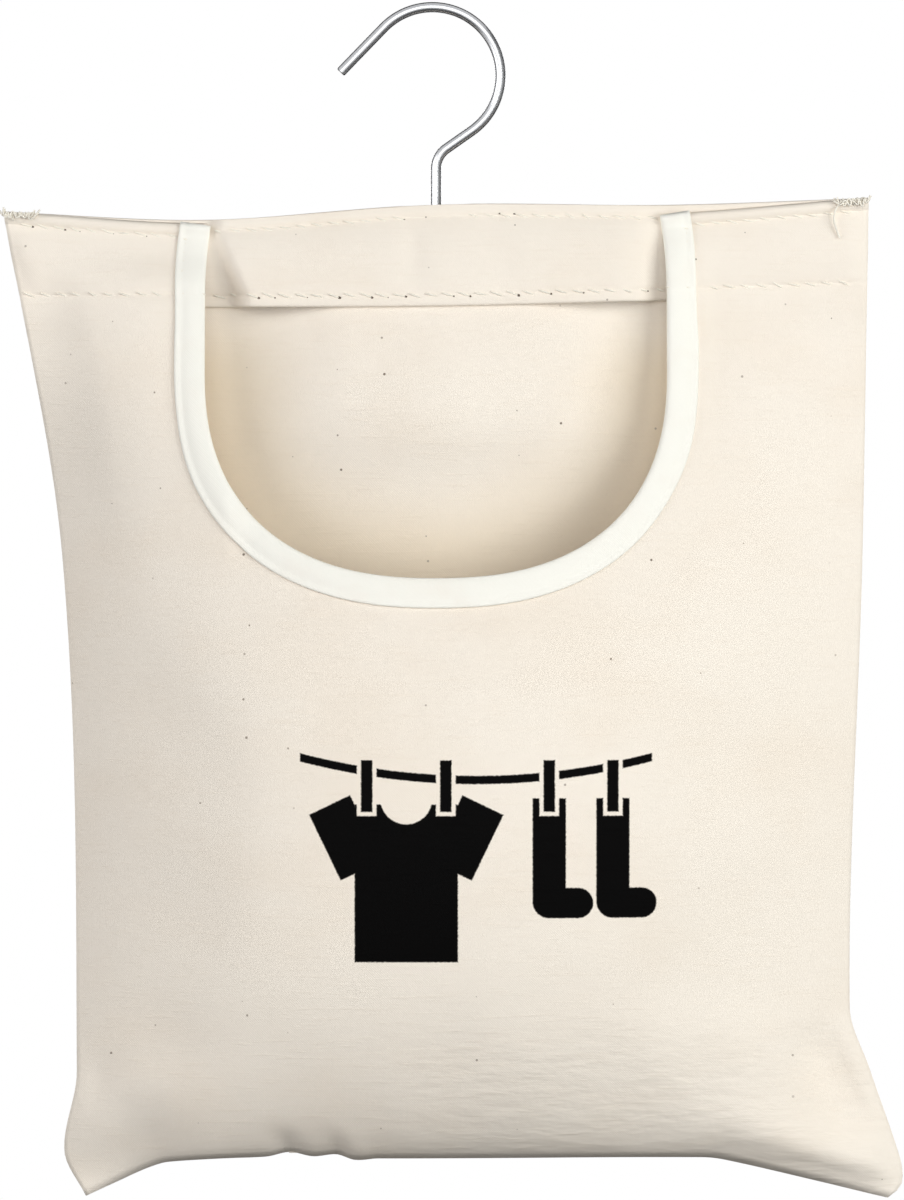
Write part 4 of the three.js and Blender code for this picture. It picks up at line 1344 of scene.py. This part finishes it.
def calico(name, printed):
    """The cloth's finish, with or without the print."""
    material, shader, new = start_material(name, Specular_IOR_Level=0.03)
    x, y, z = millimetres(new)
    weave = (x * WEAVE).wave() * (z * WEAVE).wave()
    slub = noise(new, vector(new, x * 0.07, y * 0.2, z * 0.9), 3.0).step(0.5, 0.78)
    patches = noise(new, vector(new, x * 0.02, y * 0.02, z * 0.03), 3.0)
    spread = vector(new, x / SPECK_CELL, z / SPECK_CELL + y.step(-0.5, 0.5) * 7.3, 0.0)
    cells = new.node("ShaderNodeTexVoronoi", {"voronoi_dimensions": "2D"}, {"Vector": spread, "Scale": 1.0})
    luck = new.node("ShaderNodeSeparateColor", (), {0: cells.other("Color")})
    away = cells.other("Distance") * SPECK_CELL
    husk = (away - luck.other("Green") * 0.28).step(0.26, 0.06) * luck.other("Red").step(0.81, 0.83)
    cloth = (patches.step(0.35, 0.75) * 0.55 + slub * 0.25).paint(CREAM, CREAM_WARM)
    # Painted shade: where the back's 'inside' number is high, the cream turns warmer and darker.
    depth = new.node("ShaderNodeAttribute", {"attribute_name": "inside"}, output="Fac")
    cloth = (husk * (0.35 + luck.other("Blue") * 0.5)).paint(depth.paint(cloth, CREAM_PAINTED_SHADE), HUSK)
    height = weave * 0.25 + slub * 0.6 + noise(new, vector(new, x * 0.5, y * 0.5, z * 0.9), 2.0) * 0.5
    low_right = z.step(-322, -352) * x.step(-50, 30)
    height = height + noise(new, vector(new, x * 0.09, y * 0.15, z * 0.32), 3.0) * low_right * WRINKLE
    rough = 0.86 + slub * 0.06
    if printed:
        p, q = x - PRINT_X, z - PRINT_Z
        ragged = noise(new, vector(new, x * 1.2, 0.0, z * 1.2), 2.0) * 0.5 - 0.25
        ink = (washing_line(p, q) + ragged).step(0.25, -0.25) * y.step(0, -2)
        cloth = ink.paint(cloth, (weave * 0.5 + 0.5).paint(colour(4, 4, 4), colour(9, 8, 8)))
        rough = rough - ink * 0.2
    connect(shader, Base_Color=cloth, Roughness=rough, Normal=bump(new, height, 0.35, 0.25))
    return material


print("calico has a thread every", round(2 * math.pi / WEAVE, 2), "mm")

# %% [markdown]
# ## Painted shade deep inside the bag
# Light that bounces between the two cloths turns warmer each time, so the inside is deeper in colour round
# the mouth's rim and below it. The render shows less of that than the photograph, so part of it is painted:
# each point of the back gets a number, 1 deep inside and 0 where the mouth lets the light in, at the seams
# and on the outside. The finish mixes in a warmer, darker cream by it, as painted shade.

# %% Painted shade deep inside the bag
DIM_REACH, SEAM_FADE = 42, (3, 14)
points = np.array([p.co for p in back.data.vertices]) / MM - BAG_AT
x, z = points[:, 0], points[:, 2]
facing_front = np.array([p.normal.y for p in back.data.vertices]) < 0
from_edge = np.full(len(points), FAR_OFF)
near = facing_front & (np.abs(x) < 90) & (z > -150)
rim_points = np.stack([edge_x, edge_z], -1)[::8]
from_edge[near] = np.sqrt(((points[near][:, None, ::2] - rim_points) ** 2).sum(-1).min(1))
shown = (np.abs(x) < mouth_half_at(z)) & (z > -MOUTH_DEEP)
# depth is the share of painted shade at each point of the back.
depth = np.where(shown, 1 - smooth(from_edge, 0, DIM_REACH), 1.0) * facing_front * smooth(-z, 28, 60)
depth = depth * smooth(from_seams(*locate(x, z)), *SEAM_FADE)
back.data.attributes.new("inside", "FLOAT", "POINT").data.foreach_set("value", depth.astype(np.float32))
plain_calico = calico("calico", False)
printed_calico = calico("printed_calico", True)
front.data.materials.append(printed_calico)
back.data.materials.append(plain_calico)
facing.data.materials.append(plain_calico)
print("calico on the panels and the facing,", int((depth > 0.5).sum()), "points of it deep inside")

# %% [markdown]
# ## Tape and thread
# The binding is bleached cotton tape, finer and much whiter than the calico. The thread is spun cotton: a
# faint slanting twist shows along it. The pinholes are simply dark: painted shade for the holes' depth.

# %% Tape and thread
def bleached_tape():
    material, shader, new = start_material("bleached_tape", Specular_IOR_Level=0.2)
    x, y, z = millimetres(new)
    weave = (x * WEAVE).wave() * (z * WEAVE).wave()
    soil = noise(new, vector(new, x * 0.06, y * 0.06, z * 0.06), 3.0).step(0.45, 0.8)
    connect(shader, Base_Color=(soil * 0.5).paint(colour(251, 249, 241), colour(247, 240, 230)),
            Roughness=0.8 + soil * 0.08, Normal=bump(new, weave * 0.5 + 0.5, 0.25, 0.15))
    return material


def spun_thread():
    material, shader, new = start_material("spun_thread", Specular_IOR_Level=0.3)
    x, y, z = millimetres(new)
    twist = ((x + y * 0.7 - z * 1.4) * (2 * math.pi / 0.5)).wave() * 0.5 + 0.5
    connect(shader, Base_Color=twist.paint(colour(244, 237, 222), colour(254, 250, 241)),
            Roughness=0.75 + twist * 0.1, Normal=bump(new, twist, 0.5, 0.1))
    return material


# Painted shade: the dark colour of the lenses stands for the shade inside each needle hole.
def pinhole_shade():
    material, shader, new = start_material("pinhole_shade", Specular_IOR_Level=0.0)
    x, y, z = millimetres(new)
    depth = noise(new, vector(new, x, y, z), 1.0)
    shade = depth.paint(colour(58, 46, 38), colour(120, 102, 86))
    connect(shader, Base_Color=shade, Roughness=0.9 + depth * 0.1)
    return material


tape, cotton, hole_shade = bleached_tape(), spun_thread(), pinhole_shade()
binding.data.materials.append(tape)
for row in sewn:
    row.data.materials.append(cotton)
    row.data.materials.append(hole_shade)
for corner_tack in tacks:
    corner_tack.data.materials.append(cotton)
for seam in overlocks:
    seam.data.materials[0] = plain_calico
    seam.data.materials[1] = cotton
print("tape, thread and", len(sewn), "sewn rows painted")

# %% [markdown]
# ## Steel and wood
# The hook and the washers are bright steel: polished, with fine drawing lines that change the gloss. The
# bar, which only shows if someone opens the casing, is plain beech with its short dark flecks.

# %% Steel and wood
def bright_steel():
    material, shader, new = start_material("bright_steel", Metallic=1.0)
    x, y, z = millimetres(new)
    lines = noise(new, vector(new, x * 3.0, y * 3.0, z * 0.4), 3.0)
    smudge = noise(new, vector(new, x * 0.12, y * 0.12, z * 0.12), 2.0)
    connect(shader, Base_Color=smudge.paint(colour(178, 179, 182), colour(196, 197, 199)),
            Roughness=0.16 + lines * 0.1 + smudge * 0.05, Normal=bump(new, lines, 0.1, 0.05))
    return material


def beech_wood():
    material, shader, new = start_material("beech_wood", Specular_IOR_Level=0.3)
    x, y, z = millimetres(new)
    grain = noise(new, vector(new, x * 0.03, y * 0.6, z * 0.6), 4.0)
    fleck = noise(new, vector(new, x * 0.4, y * 2.5, z * 2.5), 1.0).step(0.62, 0.72)
    wood = grain.paint(colour(224, 192, 148), colour(196, 158, 112))
    connect(shader, Base_Color=(fleck * 0.5).paint(wood, colour(150, 108, 70)),
            Roughness=0.5 + grain * 0.2, Normal=bump(new, grain, 0.2, 0.2))
    return material


steel, beech = bright_steel(), beech_wood()
for name, finish in (("upper_washer", steel), ("lower_washer", steel), ("hanger_bar", beech)):
    node = bpy.data.objects[name]
    node.data.materials.clear()
    node.data.materials.append(finish)
hook.data.materials.append(steel)
print("steel on the hook and washers, beech on the bar")

# %% [markdown]
# ## Close
# The cloth stands a little proud of the solids, but not much. The last line prints the box round all that
# is shown.

# %% Close
low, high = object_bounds()
print("visual box", [round(k, 4) for k in (*low, *high)])
